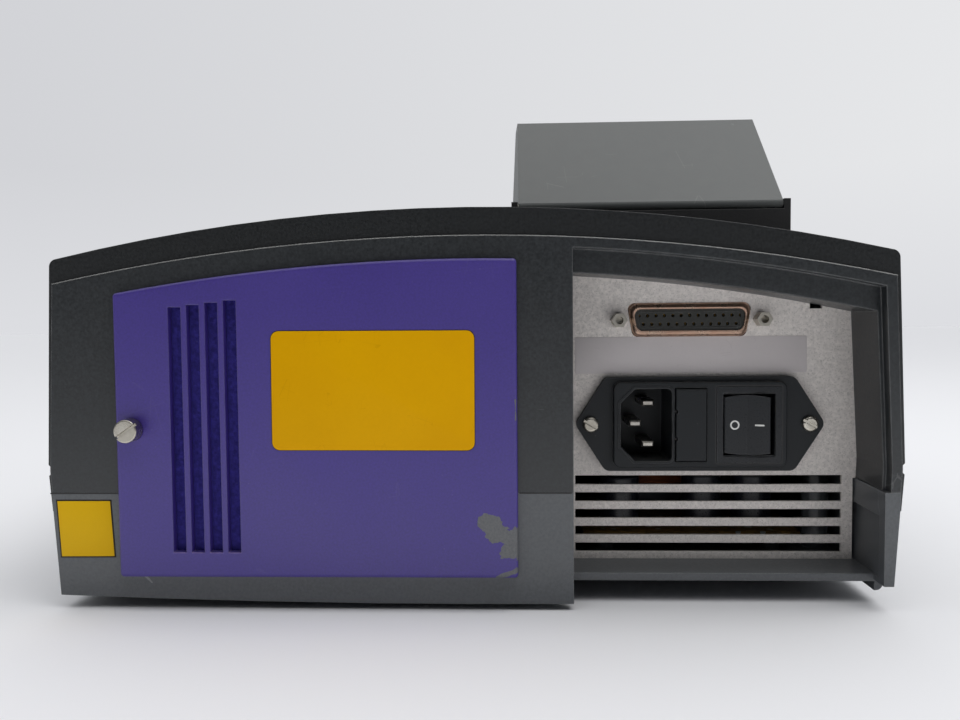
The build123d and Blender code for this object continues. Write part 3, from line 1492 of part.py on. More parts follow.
# Fascia on the sloping deck, with openings for the window and the keys
number_keys = (
    ("key_7", "key_8", "key_9"),
    ("key_4", "key_5", "key_6"),
    ("key_1", "key_2", "key_3"),
    ("key_minus", "key_0", "key_point"),
)
keys = {name: (key_x[column], key_s[row], key_width)
        for row, names in enumerate(number_keys) for column, name in enumerate(names)}
keys["key_start"] = (action_x[0], action_s, action_width)
keys["key_stop"] = (action_x[1], action_s, action_width)
fascia_s = (fascia_low + fascia_high) / 2
with BuildPart() as fascia:
    with BuildSketch(deck(0)):
        with Locations((0, fascia_s)):
            RectangleRounded(2 * fascia_half, fascia_length, fascia_corner)
    extrude(amount=fascia_thick)
    fillet(fascia.faces().sort_by(Axis(origin=(0, 0, 0), direction=(0, -deck_sin, deck_cos)))[-1]
           .edges(), fascia_edge)
    with BuildSketch(deck(fascia_thick + over)):
        with Locations((window_x, window_s)):
            Rectangle(window_width, window_height)
        for x, s, width in keys.values():
            with Locations((x, s)):
                RectangleRounded(width + 2 * key_clear, key_height + 2 * key_clear,
                                 key_corner + key_clear)
    extrude(amount=-fascia_thick - 2 * over, mode=Mode.SUBTRACT)
    with BuildSketch(deck(fascia_thick + over)):
        with Locations((window_x, window_s)):
            RectangleRounded(window_width + 2 * window_margin, window_height + 2 * window_margin,
                             window_corner + window_margin)
    extrude(amount=-over - window_rebate, mode=Mode.SUBTRACT)
finish(fascia, "fascia")

with BuildPart() as display_window:
    pane_width = window_width + 2 * (window_margin - glass_gap)
    pane_height = window_height + 2 * (window_margin - glass_gap)
    with BuildSketch(deck(fascia_thick)):
        with Locations((window_x, window_s)):
            RectangleRounded(pane_width, pane_height, window_corner + window_margin - glass_gap)
    extrude(amount=-window_rebate)
    with BuildSketch(deck(fascia_thick - window_rebate)):
        with Locations((window_x, window_s)):
            Rectangle(window_width - 2 * glass_gap, window_height - 2 * glass_gap)
    extrude(amount=window_rebate - glass_thick)
finish(display_window, "display_window")

# Display module, hung from the fascia on four posts
display_width = window_width - 2 * display_board_inset
with BuildPart() as display_module:
    with BuildSketch(deck(-display_board_level)):
        with Locations((window_x, window_s)):
            Rectangle(display_width, window_height + 2 * display_post_margin)
    extrude(amount=-board_thick)
    with BuildSketch(deck(-display_board_level)):
        with Locations((window_x, window_s)):
            Rectangle(display_width - 2 * display_post_margin, display_glass_height)
    extrude(amount=display_glass_thick)
    with BuildSketch(deck(-display_board_level)):
        with Locations((window_x, window_s)):
            with GridLocations(display_width - display_post_margin,
                               window_height + display_post_margin, 2, 2):
                Circle(display_post_radius)
    extrude(amount=display_board_level)
finish(display_module, "display_module")

# Key board: one contact dome under each key, hung from the fascia on posts
dome_level = key_gap + key_flange_thick + key_stem_length + key_travel + dome_clear
key_field_left = key_x[0] - key_field_side
key_board_fields = (
    (key_field_left, key_x[-1] + key_field_outer, key_s[-1] - key_field_low,
     key_s[0] + key_field_high),
    (action_x[0] - action_field_side, key_field_left, action_s - action_field_low,
     action_s + action_field_high),
)
action_post_s = action_s + action_post_rise
key_post_spots = [(x, s) for x in (key_x[0] - key_post_inner, key_x[-1] + key_post_outer)
                  for s in (key_s[-1] - key_post_low, key_s[0] + key_post_high)]
key_post_spots += [(action_x[0] - action_post_left, action_post_s),
                   (action_x[1] + action_post_right, action_post_s)]
with BuildPart() as key_board:
    with BuildSketch(deck(-key_board_level)):
        for left, right, low, high in key_board_fields:
            with Locations(((left + right) / 2, (low + high) / 2)):
                Rectangle(right - left, high - low)
    extrude(amount=-board_thick)
    with BuildSketch(deck(-key_board_level)):
        with Locations(*((x, s) for x, s, width in keys.values())):
            Circle(dome_radius)
    extrude(amount=key_board_level - dome_level)
    with BuildSketch(deck(-key_board_level)):
        with Locations(*key_post_spots):
            Circle(key_post_radius)
    extrude(amount=key_board_level)
finish(key_board, "key_board")

# Keys: flanged caps that are pressed along the deck's normal
for name, (x, s, width) in keys.items():
    with BuildPart() as key:
        with BuildSketch(deck(-key_gap - key_flange_thick)):
            with Locations((x, s)):
                RectangleRounded(width, key_height, key_corner)
        extrude(amount=fascia_thick + key_proud + key_gap + key_flange_thick)
        cap_top = key.faces().sort_by(Axis(origin=(0, 0, 0), direction=(0, -deck_sin, deck_cos)))
        fillet(cap_top[-1].edges(), key_round)
        with BuildSketch(deck(-key_gap)):
            with Locations((x, s)):
                RectangleRounded(width + 2 * key_flange, key_height + 2 * key_flange, key_corner)
        extrude(amount=-key_flange_thick)
        with BuildSketch(deck(-key_gap - key_flange_thick)):
            with Locations((x, s)):
                Rectangle(key_stem, key_stem)
        extrude(amount=-key_stem_length)
    finish(key, name)
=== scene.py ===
"""Finishes, trim and studio for a bench spectrophotometer seen from behind."""

import logging
import math
from dataclasses import dataclass, replace
from enum import Enum
from functools import reduce
from typing import Any, Callable, ClassVar, Iterable, Protocol, Sequence

import bpy
from mathutils import Matrix, Vector


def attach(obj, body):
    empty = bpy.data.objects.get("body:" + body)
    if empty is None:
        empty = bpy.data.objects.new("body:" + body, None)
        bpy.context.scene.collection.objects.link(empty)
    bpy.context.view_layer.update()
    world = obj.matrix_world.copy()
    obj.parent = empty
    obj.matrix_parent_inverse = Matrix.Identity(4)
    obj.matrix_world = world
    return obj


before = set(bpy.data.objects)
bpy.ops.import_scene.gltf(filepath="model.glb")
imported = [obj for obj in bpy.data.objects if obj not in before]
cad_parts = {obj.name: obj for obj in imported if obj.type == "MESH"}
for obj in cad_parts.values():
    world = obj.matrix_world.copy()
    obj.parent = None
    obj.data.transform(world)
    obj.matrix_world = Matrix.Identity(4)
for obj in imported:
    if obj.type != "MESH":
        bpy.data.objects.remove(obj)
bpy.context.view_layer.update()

LOG = logging.getLogger("spectrophotometer")
MM = 0.001

Colour = tuple[float, float, float]
Spot = tuple[float, float, float]
Point = tuple[float, float]
Outline = tuple[Point, ...]
Stroke = tuple[Spot, Spot, float]
Socket = bpy.types.NodeSocket


def paint(red: int, green: int, blue: int) -> Colour:
    """Linear colour of a paint chip read as 0 to 255 display values."""
    return tuple(_linear(value / 255) for value in (red, green, blue))


def _linear(value: float) -> float:
    """Linear light of one display value from 0 to 1."""
    return value / 12.92 if value <= 0.04045 else ((value + 0.055) / 1.055) ** 2.4


def rgba(colour: Colour) -> tuple[float, float, float, float]:
    """The colour with full opacity."""
    return (*colour, 1.0)


def scaled(colour: Colour, factor: float) -> Colour:
    """The colour made lighter or darker by a factor."""
    return tuple(min(1.0, part * factor) for part in colour)


# Node graphs and shared surface effects


class Effect(Enum):
    """Surface effects that several finishes share."""

    GRAIN = "spark_grain"
    EDGES = "worn_and_highlit_edges"
    DUST = "settled_dust"
    SCRATCHES = "fine_scratches"
    CLOUDS = "uneven_tone"
    SPECKS = "paint_specks"
    STREAKS = "tool_marks"
    SCUFF = "single_scuff"


class Graph:
    """A node tree while it is being wired."""

    def __init__(self, tree: bpy.types.NodeTree, effects: "EffectLibrary | None" = None) -> None:
        """Starts wiring.

        Args:
            tree: The tree of a material, a world or an effect.
            effects: Where a material finds the shared effects.
        """
        self.tree, self.effects = tree, effects

    def add(self, kind: str, inputs: dict[str | int, Any] | None = None,
            **settings: Any) -> bpy.types.Node:
        """Adds a node.

        Args:
            kind: Blender's node type.
            inputs: Values or sockets for the node's inputs.
            **settings: Properties set before the inputs are fed.

        Returns:
            The new node.
        """
        node = self.tree.nodes.new(kind)
        for name, value in settings.items():
            setattr(node, name, value)
        for key, value in (inputs or {}).items():
            self.feed(node.inputs[key], value)
        return node

    def feed(self, target: Socket, value: Any) -> None:
        """Links a socket or sets a plain value on an input."""
        if isinstance(value, bpy.types.NodeSocket):
            self.tree.links.new(value, target)
        else:
            target.default_value = value

    def math(self, operation: str, first: Any, second: Any = 0.0) -> Socket:
        """Result of a Math node."""
        return self.add("ShaderNodeMath", {0: first, 1: second}, operation=operation).outputs[0]

    def vector(self, operation: str, first: Any, second: Any) -> Socket:
        """Result of a Vector Math node, a number for DOT_PRODUCT and DISTANCE."""
        node = self.add("ShaderNodeVectorMath", {0: first, 1: second}, operation=operation)
        return node.outputs["Value" if operation in ("DOT_PRODUCT", "DISTANCE") else "Vector"]

    def mix(self, factor: Any, first: Any, second: Any) -> Socket:
        """Colour between two colours.

        Args:
            factor: Share of the second colour.
            first: Colour or socket at factor 0.
            second: Colour or socket at factor 1.

        Returns:
            The mixed colour.
        """
        node = self.add("ShaderNodeMix", data_type="RGBA")
        for index, value in ((0, factor), (6, first), (7, second)):
            self.feed(node.inputs[index], rgba(value) if isinstance(value, tuple) else value)
        return node.outputs[2]

    def coats(self, base: Any, *coats: tuple[Any, ...]) -> Socket:
        """Colour with further coats over it.

        Args:
            base: Colour or socket of the ground.
            *coats: Each coat's colour and mask, and its strength where that isn't full.

        Returns:
            The coated colour.
        """
        for colour, mask, *strength in coats:
            share = self.math("MULTIPLY", mask, *strength) if strength else mask
            base = self.mix(share, base, colour)
        return base

    def remap(self, value: Any, low: float, high: float, to_low: float = 0.0,
              to_high: float = 1.0) -> Socket:
        """The value stretched from one range to another and held inside it."""
        inputs = {0: value, 1: low, 2: high, 3: to_low, 4: to_high}
        return self.add("ShaderNodeMapRange", inputs).outputs[0]

    def spread(self, value: Any, low: float, high: float) -> Socket:
        """A value from 0 to 1 stretched to a range."""
        return self.remap(value, 0.0, 1.0, low, high)

    def noise(self, scale: Any, detail: float = 3.0, seed: Any = 0.0, vector: Any = None) -> Socket:
        """Value of a noise in the piece's own coordinates."""
        inputs = {"Vector": vector or self.place(), "W": seed, "Scale": scale, "Detail": detail}
        return self.add("ShaderNodeTexNoise", inputs, noise_dimensions="4D").outputs[0]

    def cells(self, scale: Any, vector: Any = None, **settings: Any) -> bpy.types.Node:
        """Voronoi cells in the piece's own coordinates."""
        return self.add("ShaderNodeTexVoronoi", {"Vector": vector or self.place(),
                                                 "Scale": scale}, **settings)

    def place(self) -> Socket:
        """The point on the piece, in metres."""
        return self.add("ShaderNodeTexCoord").outputs["Object"]

    def turned(self, rotation: Spot, scale: Spot) -> Socket:
        """The point on the piece, turned and stretched."""
        return self.add("ShaderNodeMapping", {
            "Vector": self.place(), "Rotation": rotation, "Scale": scale}).outputs[0]

    def effect(self, effect: Effect, **inputs: Any) -> bpy.types.NodeOutputs:
        """Outputs of a shared effect placed with this material's values."""
        node = self.add("ShaderNodeGroup", node_tree=self.effects.tree(effect))
        for name, value in inputs.items():
            self.feed(node.inputs[name.capitalize()], value)
        return node.outputs

    def bump(self, height: Any, depth: float, normal: Socket | None = None) -> Socket:
        """Normal of a height given in metres.

        Args:
            height: Height from 0 to 1.
            depth: What 1 stands for, in metres.
            normal: Normal that the bump starts from.

        Returns:
            The bumped normal.
        """
        inputs = {"Height": height, "Distance": depth, "Strength": 1.0}
        if normal is not None:
            inputs["Normal"] = normal
        return self.add("ShaderNodeBump", inputs).outputs[0]

    def surface(self, base: Any, rough: Any, **others: Any) -> None:
        """Wires the material's shader.

        Args:
            base: Colour.
            rough: Roughness.
            **others: Other inputs, by their names with underscores.
        """
        shader = self.add("ShaderNodeBsdfPrincipled", {"Base Color": base, "Roughness": rough})
        names = {name.replace(" ", "_").lower(): name for name in shader.inputs.keys()}
        for name, value in others.items():
            self.feed(shader.inputs[names[name]], value)
        self.add("ShaderNodeOutputMaterial", {"Surface": shader.outputs[0]})


Maker = Callable[..., dict[str, Socket]]
RECIPES: dict[Effect, tuple[Maker, dict[str, Any]]] = {}


def recipe(effect: Effect, **inputs: Any) -> Callable[[Maker], Maker]:
    """Marks a function as the way to build an effect.

    Args:
        effect: The effect.
        **inputs: Its inputs with their usual values.

    Returns:
        The decorator, which leaves the function as it is.
    """
    def keep(maker: Maker) -> Maker:
        """Files the function under its effect."""
        RECIPES[effect] = (maker, inputs)
        return maker
    return keep


class EffectLibrary:
    """Builds each shared effect once and keeps it."""

    def __init__(self) -> None:
        """Starts with no effect built."""
        self._trees: dict[Effect, bpy.types.NodeTree] = {}

    def tree(self, effect: Effect) -> bpy.types.NodeTree:
        """The effect's node group.

        Args:
            effect: Which effect.

        Returns:
            The group, built on first use.
        """
        if effect not in self._trees:
            maker, inputs = RECIPES[effect]
            tree = bpy.data.node_groups.new(effect.value, "ShaderNodeTree")
            for name, value in inputs.items():
                made = self._socket(tree, name.capitalize(), "INPUT", isinstance(value, tuple))
                made.default_value = value
            source = tree.nodes.new("NodeGroupInput")
            results = maker(Graph(tree), *[source.outputs[name.capitalize()] for name in inputs])
            for name in results:
                self._socket(tree, name, "OUTPUT", name == "Normal")
            sink = tree.nodes.new("NodeGroupOutput")
            for name, value in results.items():
                tree.links.new(value, sink.inputs[name])
            self._trees[effect] = tree
        return self._trees[effect]

    @staticmethod
    def _socket(tree: bpy.types.NodeTree, name: str, side: str,
                vector: bool) -> bpy.types.NodeTreeInterfaceSocket:
        """A new socket on a group, a number or a vector."""
        kind = "NodeSocketVector" if vector else "NodeSocketFloat"
        return tree.interface.new_socket(name=name, in_out=side, socket_type=kind)


@recipe(Effect.GRAIN, scale=1500.0, seed=0.0)
def _grain(graph: Graph, scale: Socket, seed: Socket) -> dict[str, Socket]:
    """Spark-eroded texture of a mould: its height and its slow change of tone."""
    fine = graph.noise(scale, 4.0, seed)
    cells = graph.cells(graph.math("MULTIPLY", scale, 0.6))
    height = graph.math("ADD", graph.math("MULTIPLY", fine, 0.7),
                        graph.math("MULTIPLY", cells.outputs["Distance"], 0.45))
    slow = graph.noise(graph.math("MULTIPLY", scale, 0.8), 3.0, seed)
    return {"Height": height, "Tone": graph.remap(slow, 0.3, 0.7)}


@recipe(Effect.EDGES, radius=0.0004, seed=0.0)
def _edges(graph: Graph, radius: Socket, seed: Socket) -> dict[str, Socket]:
    """Soft corners, a mask of them that is partly worn and partly painted highlight, and a painted
    highlight on corners that face up.
    """
    soft = graph.add("ShaderNodeBevel", {"Radius": radius}, samples=4).outputs[0]
    surface = graph.add("ShaderNodeNewGeometry").outputs["Normal"]
    corner = graph.remap(graph.vector("DOT_PRODUCT", soft, surface), 0.99, 0.82)
    broken = graph.remap(graph.noise(240.0, 4.0, seed), 0.36, 0.6, 0.4, 1.0)
    raised = graph.vector("DOT_PRODUCT", soft, (0.0, 0.0, 1.0))
    return {"Mask": graph.math("MULTIPLY", corner, broken),
            # Painted highlight: corners whose softened normal faces up, as if lit from above.
            "Upper": graph.math("MULTIPLY", corner, graph.remap(raised, 0.2, 0.55)),
            "Normal": soft}


@recipe(Effect.DUST, amount=0.3, seed=0.0)
def _dust(graph: Graph, amount: Socket, seed: Socket) -> dict[str, Socket]:
    """Dust that lies on faces that look up, with a few loose grains."""
    normal = graph.add("ShaderNodeNewGeometry").outputs["Normal"]
    upward = graph.remap(graph.vector("DOT_PRODUCT", normal, (0.0, 0.0, 1.0)), 0.15, 0.95, 0.06)
    drift = graph.remap(graph.noise(130.0, 8.0, seed), 0.3, 0.8, 0.5)
    grains = graph.remap(graph.cells(420.0).outputs["Distance"], 0.11, 0.07)
    loose = graph.math("MULTIPLY", grains, graph.remap(graph.noise(90.0), 0.52, 0.62))
    cover = graph.math("ADD", graph.math("MULTIPLY", upward, drift), loose)
    return {"Mask": graph.math("MULTIPLY", cover, amount)}


@recipe(Effect.SCRATCHES, scale=30.0, density=0.4, seed=0.0)
def _scratches(graph: Graph, scale: Socket, density: Socket, seed: Socket) -> dict[str, Socket]:
    """Hairline scratches in two leanings."""
    lines = []
    for turn, stretch in ((0.45, (1.0, 0.25, 5.0)), (-0.8, (4.0, 0.5, 1.0))):
        cells = graph.cells(scale, graph.turned((turn, turn, turn), stretch),
                            feature="DISTANCE_TO_EDGE")
        lines.append(graph.remap(cells.outputs["Distance"], 0.012, 0.004))
    patchy = graph.noise(graph.math("MULTIPLY", scale, 1.7), 2.0, seed)
    return {"Mask": graph.math("MULTIPLY", graph.math("MAXIMUM", *lines),
                               graph.math("GREATER_THAN", density, patchy))}


@recipe(Effect.CLOUDS, scale=12.0, seed=0.0)
def _clouds(graph: Graph, scale: Socket, seed: Socket) -> dict[str, Socket]:
    """Slow unevenness of a tone."""
    return {"Value": graph.remap(graph.noise(scale, 4.0, seed), 0.3, 0.7)}


@recipe(Effect.SPECKS, scale=700.0, share=0.3, seed=0.0)
def _specks(graph: Graph, scale: Socket, share: Socket, seed: Socket) -> dict[str, Socket]:
    """Sprinkled dots of differing sizes."""
    cells = graph.cells(scale)
    chance = graph.add("ShaderNodeSeparateColor", {0: cells.outputs["Color"]})
    size = graph.math("MULTIPLY", chance.outputs[1], 0.42)
    dot = graph.math("LESS_THAN", cells.outputs["Distance"], size)
    kept = graph.math("LESS_THAN", chance.outputs[0], share)
    tone = graph.noise(graph.math("MULTIPLY", scale, 0.5), 3.0, seed)
    return {"Mask": graph.math("MULTIPLY", dot, kept), "Tone": graph.remap(tone, 0.3, 0.7)}


@recipe(Effect.STREAKS, scale=900.0, stretch=(1.0, 1.0, 1.0), seed=0.0)
def _streaks(graph: Graph, scale: Socket, stretch: Socket, seed: Socket) -> dict[str, Socket]:
    """Fine parallel marks of a tool, long across the stretched axes."""
    along = graph.vector("MULTIPLY", graph.place(), stretch)
    return {"Value": graph.noise(scale, 3.0, seed, along)}


@recipe(Effect.SCUFF, start=(0.0, 0.0, 0.0), end=(0.0, 0.0, 0.0), width=0.001)
def _scuff(graph: Graph, start: Socket, end: Socket, width: Socket) -> dict[str, Socket]:
    """One scuff between two points, ragged at its rim."""
    span = graph.vector("SUBTRACT", end, start)
    reach = graph.vector("SUBTRACT", graph.place(), start)
    along = graph.math("DIVIDE", graph.vector("DOT_PRODUCT", reach, span),
                       graph.vector("DOT_PRODUCT", span, span))
    share = graph.math("MINIMUM", graph.math("MAXIMUM", along, 0.0), 1.0)
    step = graph.add("ShaderNodeVectorMath", {0: span, "Scale": share}, operation="SCALE")
    gap = graph.vector("DISTANCE", reach, step.outputs["Vector"])
    ragged = graph.remap(graph.noise(260.0, 6.0), 0.35, 0.65, 0.5, 1.25)
    return {"Mask": graph.math("LESS_THAN", gap, graph.math("MULTIPLY", width, ragged))}


# Finishes


class Finish(Protocol):
    """A finish that can dress a material."""

    name: str

    def wire(self, graph: Graph) -> None:
        """Wires the material's shader."""


@dataclass(frozen=True)
class Moulding:
    """Moulded plastic with the texture of its mould."""

    name: str
    colour: Colour
    roughness: float = 0.55
    grain: float = 1500.0
    depth: float = 0.00004
    mottle: float = 0.16
    # How much paler the corners are: partly worn, partly a painted highlight.
    pale_corners: float = 0.25
    corner: float = 0.0004
    dust: float = 0.18
    scratches: float = 0.3
    seed: float = 0.0
    specular: float = 0.45
    # Strength of a pale painted highlight on corners that face up.
    top_edge_highlight: float = 0.0
    scuff: Stroke | None = None

    def wire(self, graph: Graph) -> None:
        """Grain, mottling, dust, corners paler as worn and as painted highlight, a painted
        highlight on corners that face up, and hairlines.
        """
        grain = graph.effect(Effect.GRAIN, scale=self.grain, seed=self.seed)
        clouds = graph.effect(Effect.CLOUDS, scale=14.0, seed=self.seed + 3.0)
        edges = graph.effect(Effect.EDGES, radius=self.corner, seed=self.seed)
        dust = graph.effect(Effect.DUST, amount=self.dust, seed=self.seed)
        marks = graph.effect(Effect.SCRATCHES, density=self.scratches, seed=self.seed)
        light = tuple(part * 0.45 + 0.3 for part in self.colour)
        base = graph.mix(grain["Tone"], scaled(self.colour, 1.0 - self.mottle),
                         scaled(self.colour, 1.0 + self.mottle))
        # Corners paler, partly as worn and partly as a painted highlight along the rims.
        base = graph.coats(base, (scaled(self.colour, 1.35), clouds[0], self.mottle * 0.5),
                           (paint(150, 148, 142), dust[0]), (light, edges["Mask"], self.pale_corners),
                           (light, marks[0], 0.16))
        # Painted highlight on corners that face up.
        if self.top_edge_highlight:
            base = graph.coats(base, (paint(214, 214, 210), edges["Upper"], self.top_edge_highlight))
        if self.scuff:
            start, end, width = self.scuff
            scuff = graph.effect(Effect.SCUFF, start=start, end=end, width=width)
            base = graph.coats(base, (paint(150, 150, 150), scuff[0], 0.5))
        rough = graph.spread(grain["Tone"], self.roughness - 0.06, self.roughness + 0.08)
        rough = graph.math("ADD", rough, graph.math("MULTIPLY", dust[0], 0.4))
        graph.surface(base, rough, specular_ior_level=self.specular,
                      normal=graph.bump(grain["Height"], self.depth, edges["Normal"]))


@dataclass(frozen=True)
class VioletPaint:
    """Violet coat over grey plastic, worn through where hands and tools catch it."""

    name: str
    colour: Colour
    under: Colour
    chips: tuple[Stroke, ...]
    roughness: float = 0.32

    def wire(self, graph: Graph) -> None:
        """Fine orange peel, uneven tone, corners paler as worn and as painted highlight, a pale
        painted highlight on corners that face up, and chipped places.
        """
        grain = graph.effect(Effect.GRAIN, scale=1900.0, seed=5.0)
        clouds = graph.effect(Effect.CLOUDS, scale=20.0, seed=8.0)
        edges = graph.effect(Effect.EDGES, radius=0.0006, seed=2.0)
        dust = graph.effect(Effect.DUST, amount=0.12, seed=4.0)
        marks = graph.effect(Effect.SCRATCHES, scale=24.0, density=0.38, seed=6.0)
        pale = tuple(part * 0.6 + 0.16 for part in self.colour)
        base = graph.mix(grain["Tone"], scaled(self.colour, 0.86), scaled(self.colour, 1.14))
        # Painted highlight: paler corners, and a pale violet line on corners that face up, as if
        # lit from above.
        base = graph.coats(base, (scaled(self.colour, 1.25), clouds[0], 0.3),
                           (pale, edges["Mask"], 0.35), (paint(176, 150, 205), edges["Upper"], 0.7),
                           (pale, marks[0], 0.07), (paint(160, 158, 165), dust[0]))
        chips = [graph.effect(Effect.SCUFF, start=start, end=end, width=width)[0]
                 for start, end, width in self.chips]
        worn = reduce(lambda first, second: graph.math("MAXIMUM", first, second), chips)
        bare = graph.mix(grain["Tone"], scaled(self.under, 0.85), scaled(self.under, 1.2))
        height = graph.math("SUBTRACT", grain["Height"], graph.math("MULTIPLY", worn, 1.5))
        graph.surface(graph.mix(worn, base, bare),
                      graph.spread(graph.math("MAXIMUM", worn, clouds[0]), self.roughness,
                                   self.roughness + 0.14),
                      normal=graph.bump(height, 0.000012, edges["Normal"]),
                      specular_ior_level=0.55)


@dataclass(frozen=True)
class SpeckledSheet:
    """Sheet metal with a speckled hammer coat."""

    name: str
    colour: Colour
    speck: Colour

    def wire(self, graph: Graph) -> None:
        """Two sizes of specks over a mottled ground, rough and a little pitted."""
        fine = graph.effect(Effect.SPECKS, scale=1900.0, share=0.7, seed=1.0)
        coarse = graph.effect(Effect.SPECKS, scale=1000.0, share=0.12, seed=2.0)
        clouds = graph.effect(Effect.CLOUDS, scale=46.0, seed=3.0)
        slow = graph.effect(Effect.CLOUDS, scale=11.0, seed=9.0)
        marks = graph.effect(Effect.SCRATCHES, scale=38.0, density=0.42, seed=3.0)
        base = graph.mix(fine["Tone"], scaled(self.colour, 0.78), scaled(self.colour, 1.16))
        base = graph.coats(base, (scaled(self.colour, 0.8), clouds[0], 0.35),
                           (scaled(self.colour, 0.76), slow[0], 0.3),
                           (self.speck, fine["Mask"], 0.3), (self.speck, coarse["Mask"], 0.3),
                           (scaled(self.colour, 1.2), marks[0], 0.2))
        graph.surface(base, graph.spread(fine["Tone"], 0.42, 0.66), metallic=0.1,
                      normal=graph.bump(fine["Tone"], 0.00003))


@dataclass(frozen=True)
class WorkedMetal:
    """Bare, plated or anodised metal with the marks of its making."""

    name: str
    colour: Colour
    roughness: float = 0.3
    metallic: float = 1.0
    stretch: Spot = (1.0, 1.0, 1.0)
    scale: float = 900.0
    depth: float = 0.00001
    tarnish: Colour | None = None
    tarnish_share: float = 0.5
    pale_corners: float = 0.4
    seed: float = 0.0

    def wire(self, graph: Graph) -> None:
        """Tool marks, patchy tarnish and bright corners."""
        streaks = graph.effect(Effect.STREAKS, scale=self.scale, stretch=self.stretch,
                               seed=self.seed)
        clouds = graph.effect(Effect.CLOUDS, scale=160.0, seed=self.seed)
        edges = graph.effect(Effect.EDGES, radius=0.0002, seed=self.seed)
        base = graph.mix(graph.remap(streaks[0], 0.35, 0.65), scaled(self.colour, 0.85),
                         self.colour)
        base = graph.coats(
            base, (self.tarnish or scaled(self.colour, 0.62), clouds[0], self.tarnish_share),
            (scaled(self.colour, 1.35), edges["Mask"], self.pale_corners))
        graph.surface(base, graph.spread(clouds[0], self.roughness - 0.06, self.roughness + 0.14),
                      normal=graph.bump(streaks[0], self.depth, edges["Normal"]),
                      metallic=self.metallic)


@dataclass(frozen=True)
class ClearGlass:
    """Clear or tinted glass or pane."""

    name: str
    colour: Colour
    roughness: float = 0.02
    ior: float = 1.46

    def wire(self, graph: Graph) -> None:
        """Faint smears in the gloss over a clear body."""
        clouds = graph.effect(Effect.CLOUDS, scale=90.0, seed=2.0)
        base = graph.coats(self.colour, (scaled(self.colour, 0.9), clouds[0], 0.2))
        graph.surface(base, graph.spread(clouds[0], self.roughness, self.roughness + 0.05),
                      transmission_weight=1.0, ior=self.ior)


@dataclass(frozen=True)
class LabelFilm:
    """Blank self-adhesive film, a little aged."""

    name: str
    colour: Colour
    aged: Colour
    roughness: float = 0.4
    specular: float = 0.18

    def wire(self, graph: Graph) -> None:
        """Uneven tone, grain, darker hairlines and a soft gloss."""
        clouds = graph.effect(Effect.CLOUDS, scale=34.0, seed=7.0)
        grain = graph.effect(Effect.GRAIN, scale=1300.0, seed=7.0)
        marks = graph.effect(Effect.SCRATCHES, scale=60.0, density=0.4, seed=1.0)
        base = graph.coats(self.colour, (self.aged, clouds[0], 0.55),
                           (scaled(self.colour, 0.88), grain["Tone"], 0.25),
                           (scaled(self.aged, 0.8), marks[0], 0.3))
        graph.surface(base, graph.spread(clouds[0], self.roughness, self.roughness + 0.15),
                      normal=graph.bump(grain["Height"], 0.00001),
                      specular_ior_level=self.specular)


@dataclass(frozen=True)
class Ink:
    """Printed ink, slightly thin in places."""

    name: str
    colour: Colour

    def wire(self, graph: Graph) -> None:
        """Ink with a slow change of strength."""
        clouds = graph.effect(Effect.CLOUDS, scale=900.0, seed=1.0)
        thin = tuple(part * 0.8 + 0.03 for part in self.colour)
        graph.surface(graph.coats(self.colour, (thin, clouds[0], 0.25)),
                      graph.spread(clouds[0], 0.42, 0.6))


@dataclass(frozen=True)
class CircuitBoard:
    """Lacquered board with tracks, and dark cases on whatever stands above its level."""

    name: str
    normal: Spot
    level: float
    lacquer: Colour = paint(24, 84, 52)
    track: Colour = paint(44, 118, 76)
    case: Colour = paint(26, 26, 28)

    def wire(self, graph: Graph) -> None:
        """Tracks under the lacquer up to the board's level, and moulded cases over it."""
        above = graph.math("GREATER_THAN", graph.vector("DOT_PRODUCT", graph.place(), self.normal),
                           self.level)
        lanes = []
        for turn in (0.0, math.pi / 2):
            cells = graph.cells(85.0, graph.turned((0.0, 0.0, turn), (1.0, 7.0, 1.0)),
                                distance="CHEBYCHEV")
            lanes.append(graph.remap(cells.outputs["Distance"], 0.30, 0.36))
        tracks = graph.math("MULTIPLY", *lanes)
        holes = graph.effect(Effect.SPECKS, scale=260.0, share=0.4, seed=2.0)
        grain = graph.effect(Effect.GRAIN, scale=1600.0, seed=2.0)
        board = graph.coats(graph.mix(tracks, self.lacquer, self.track),
                            (paint(176, 176, 170), holes["Mask"], 0.8))
        case = graph.mix(grain["Tone"], scaled(self.case, 0.8), scaled(self.case, 1.3))
        rough = graph.math("ADD", above, graph.math("MULTIPLY", grain["Tone"], 0.2))
        relief = graph.math("ADD", graph.math("MULTIPLY", tracks, 0.8), grain["Height"])
        graph.surface(graph.mix(above, board, case), graph.remap(rough, 0.0, 1.2, 0.28, 0.6),
                      normal=graph.bump(relief, 0.00003))


@dataclass(frozen=True)
class AlongDepth:
    """A finish that changes where the piece runs out past a middle stretch along Y."""

    name: str
    centre_y: float
    half: float

    def split(self, graph: Graph) -> tuple[Socket, Socket, Socket]:
        """The depth, the height and a mask of what lies past the middle stretch."""
        _, depth, height = graph.add("ShaderNodeSeparateXYZ", {0: graph.place()}).outputs
        away = graph.math("ABSOLUTE", graph.math("SUBTRACT", depth, self.centre_y))
        return depth, height, graph.math("GREATER_THAN", away, self.half)


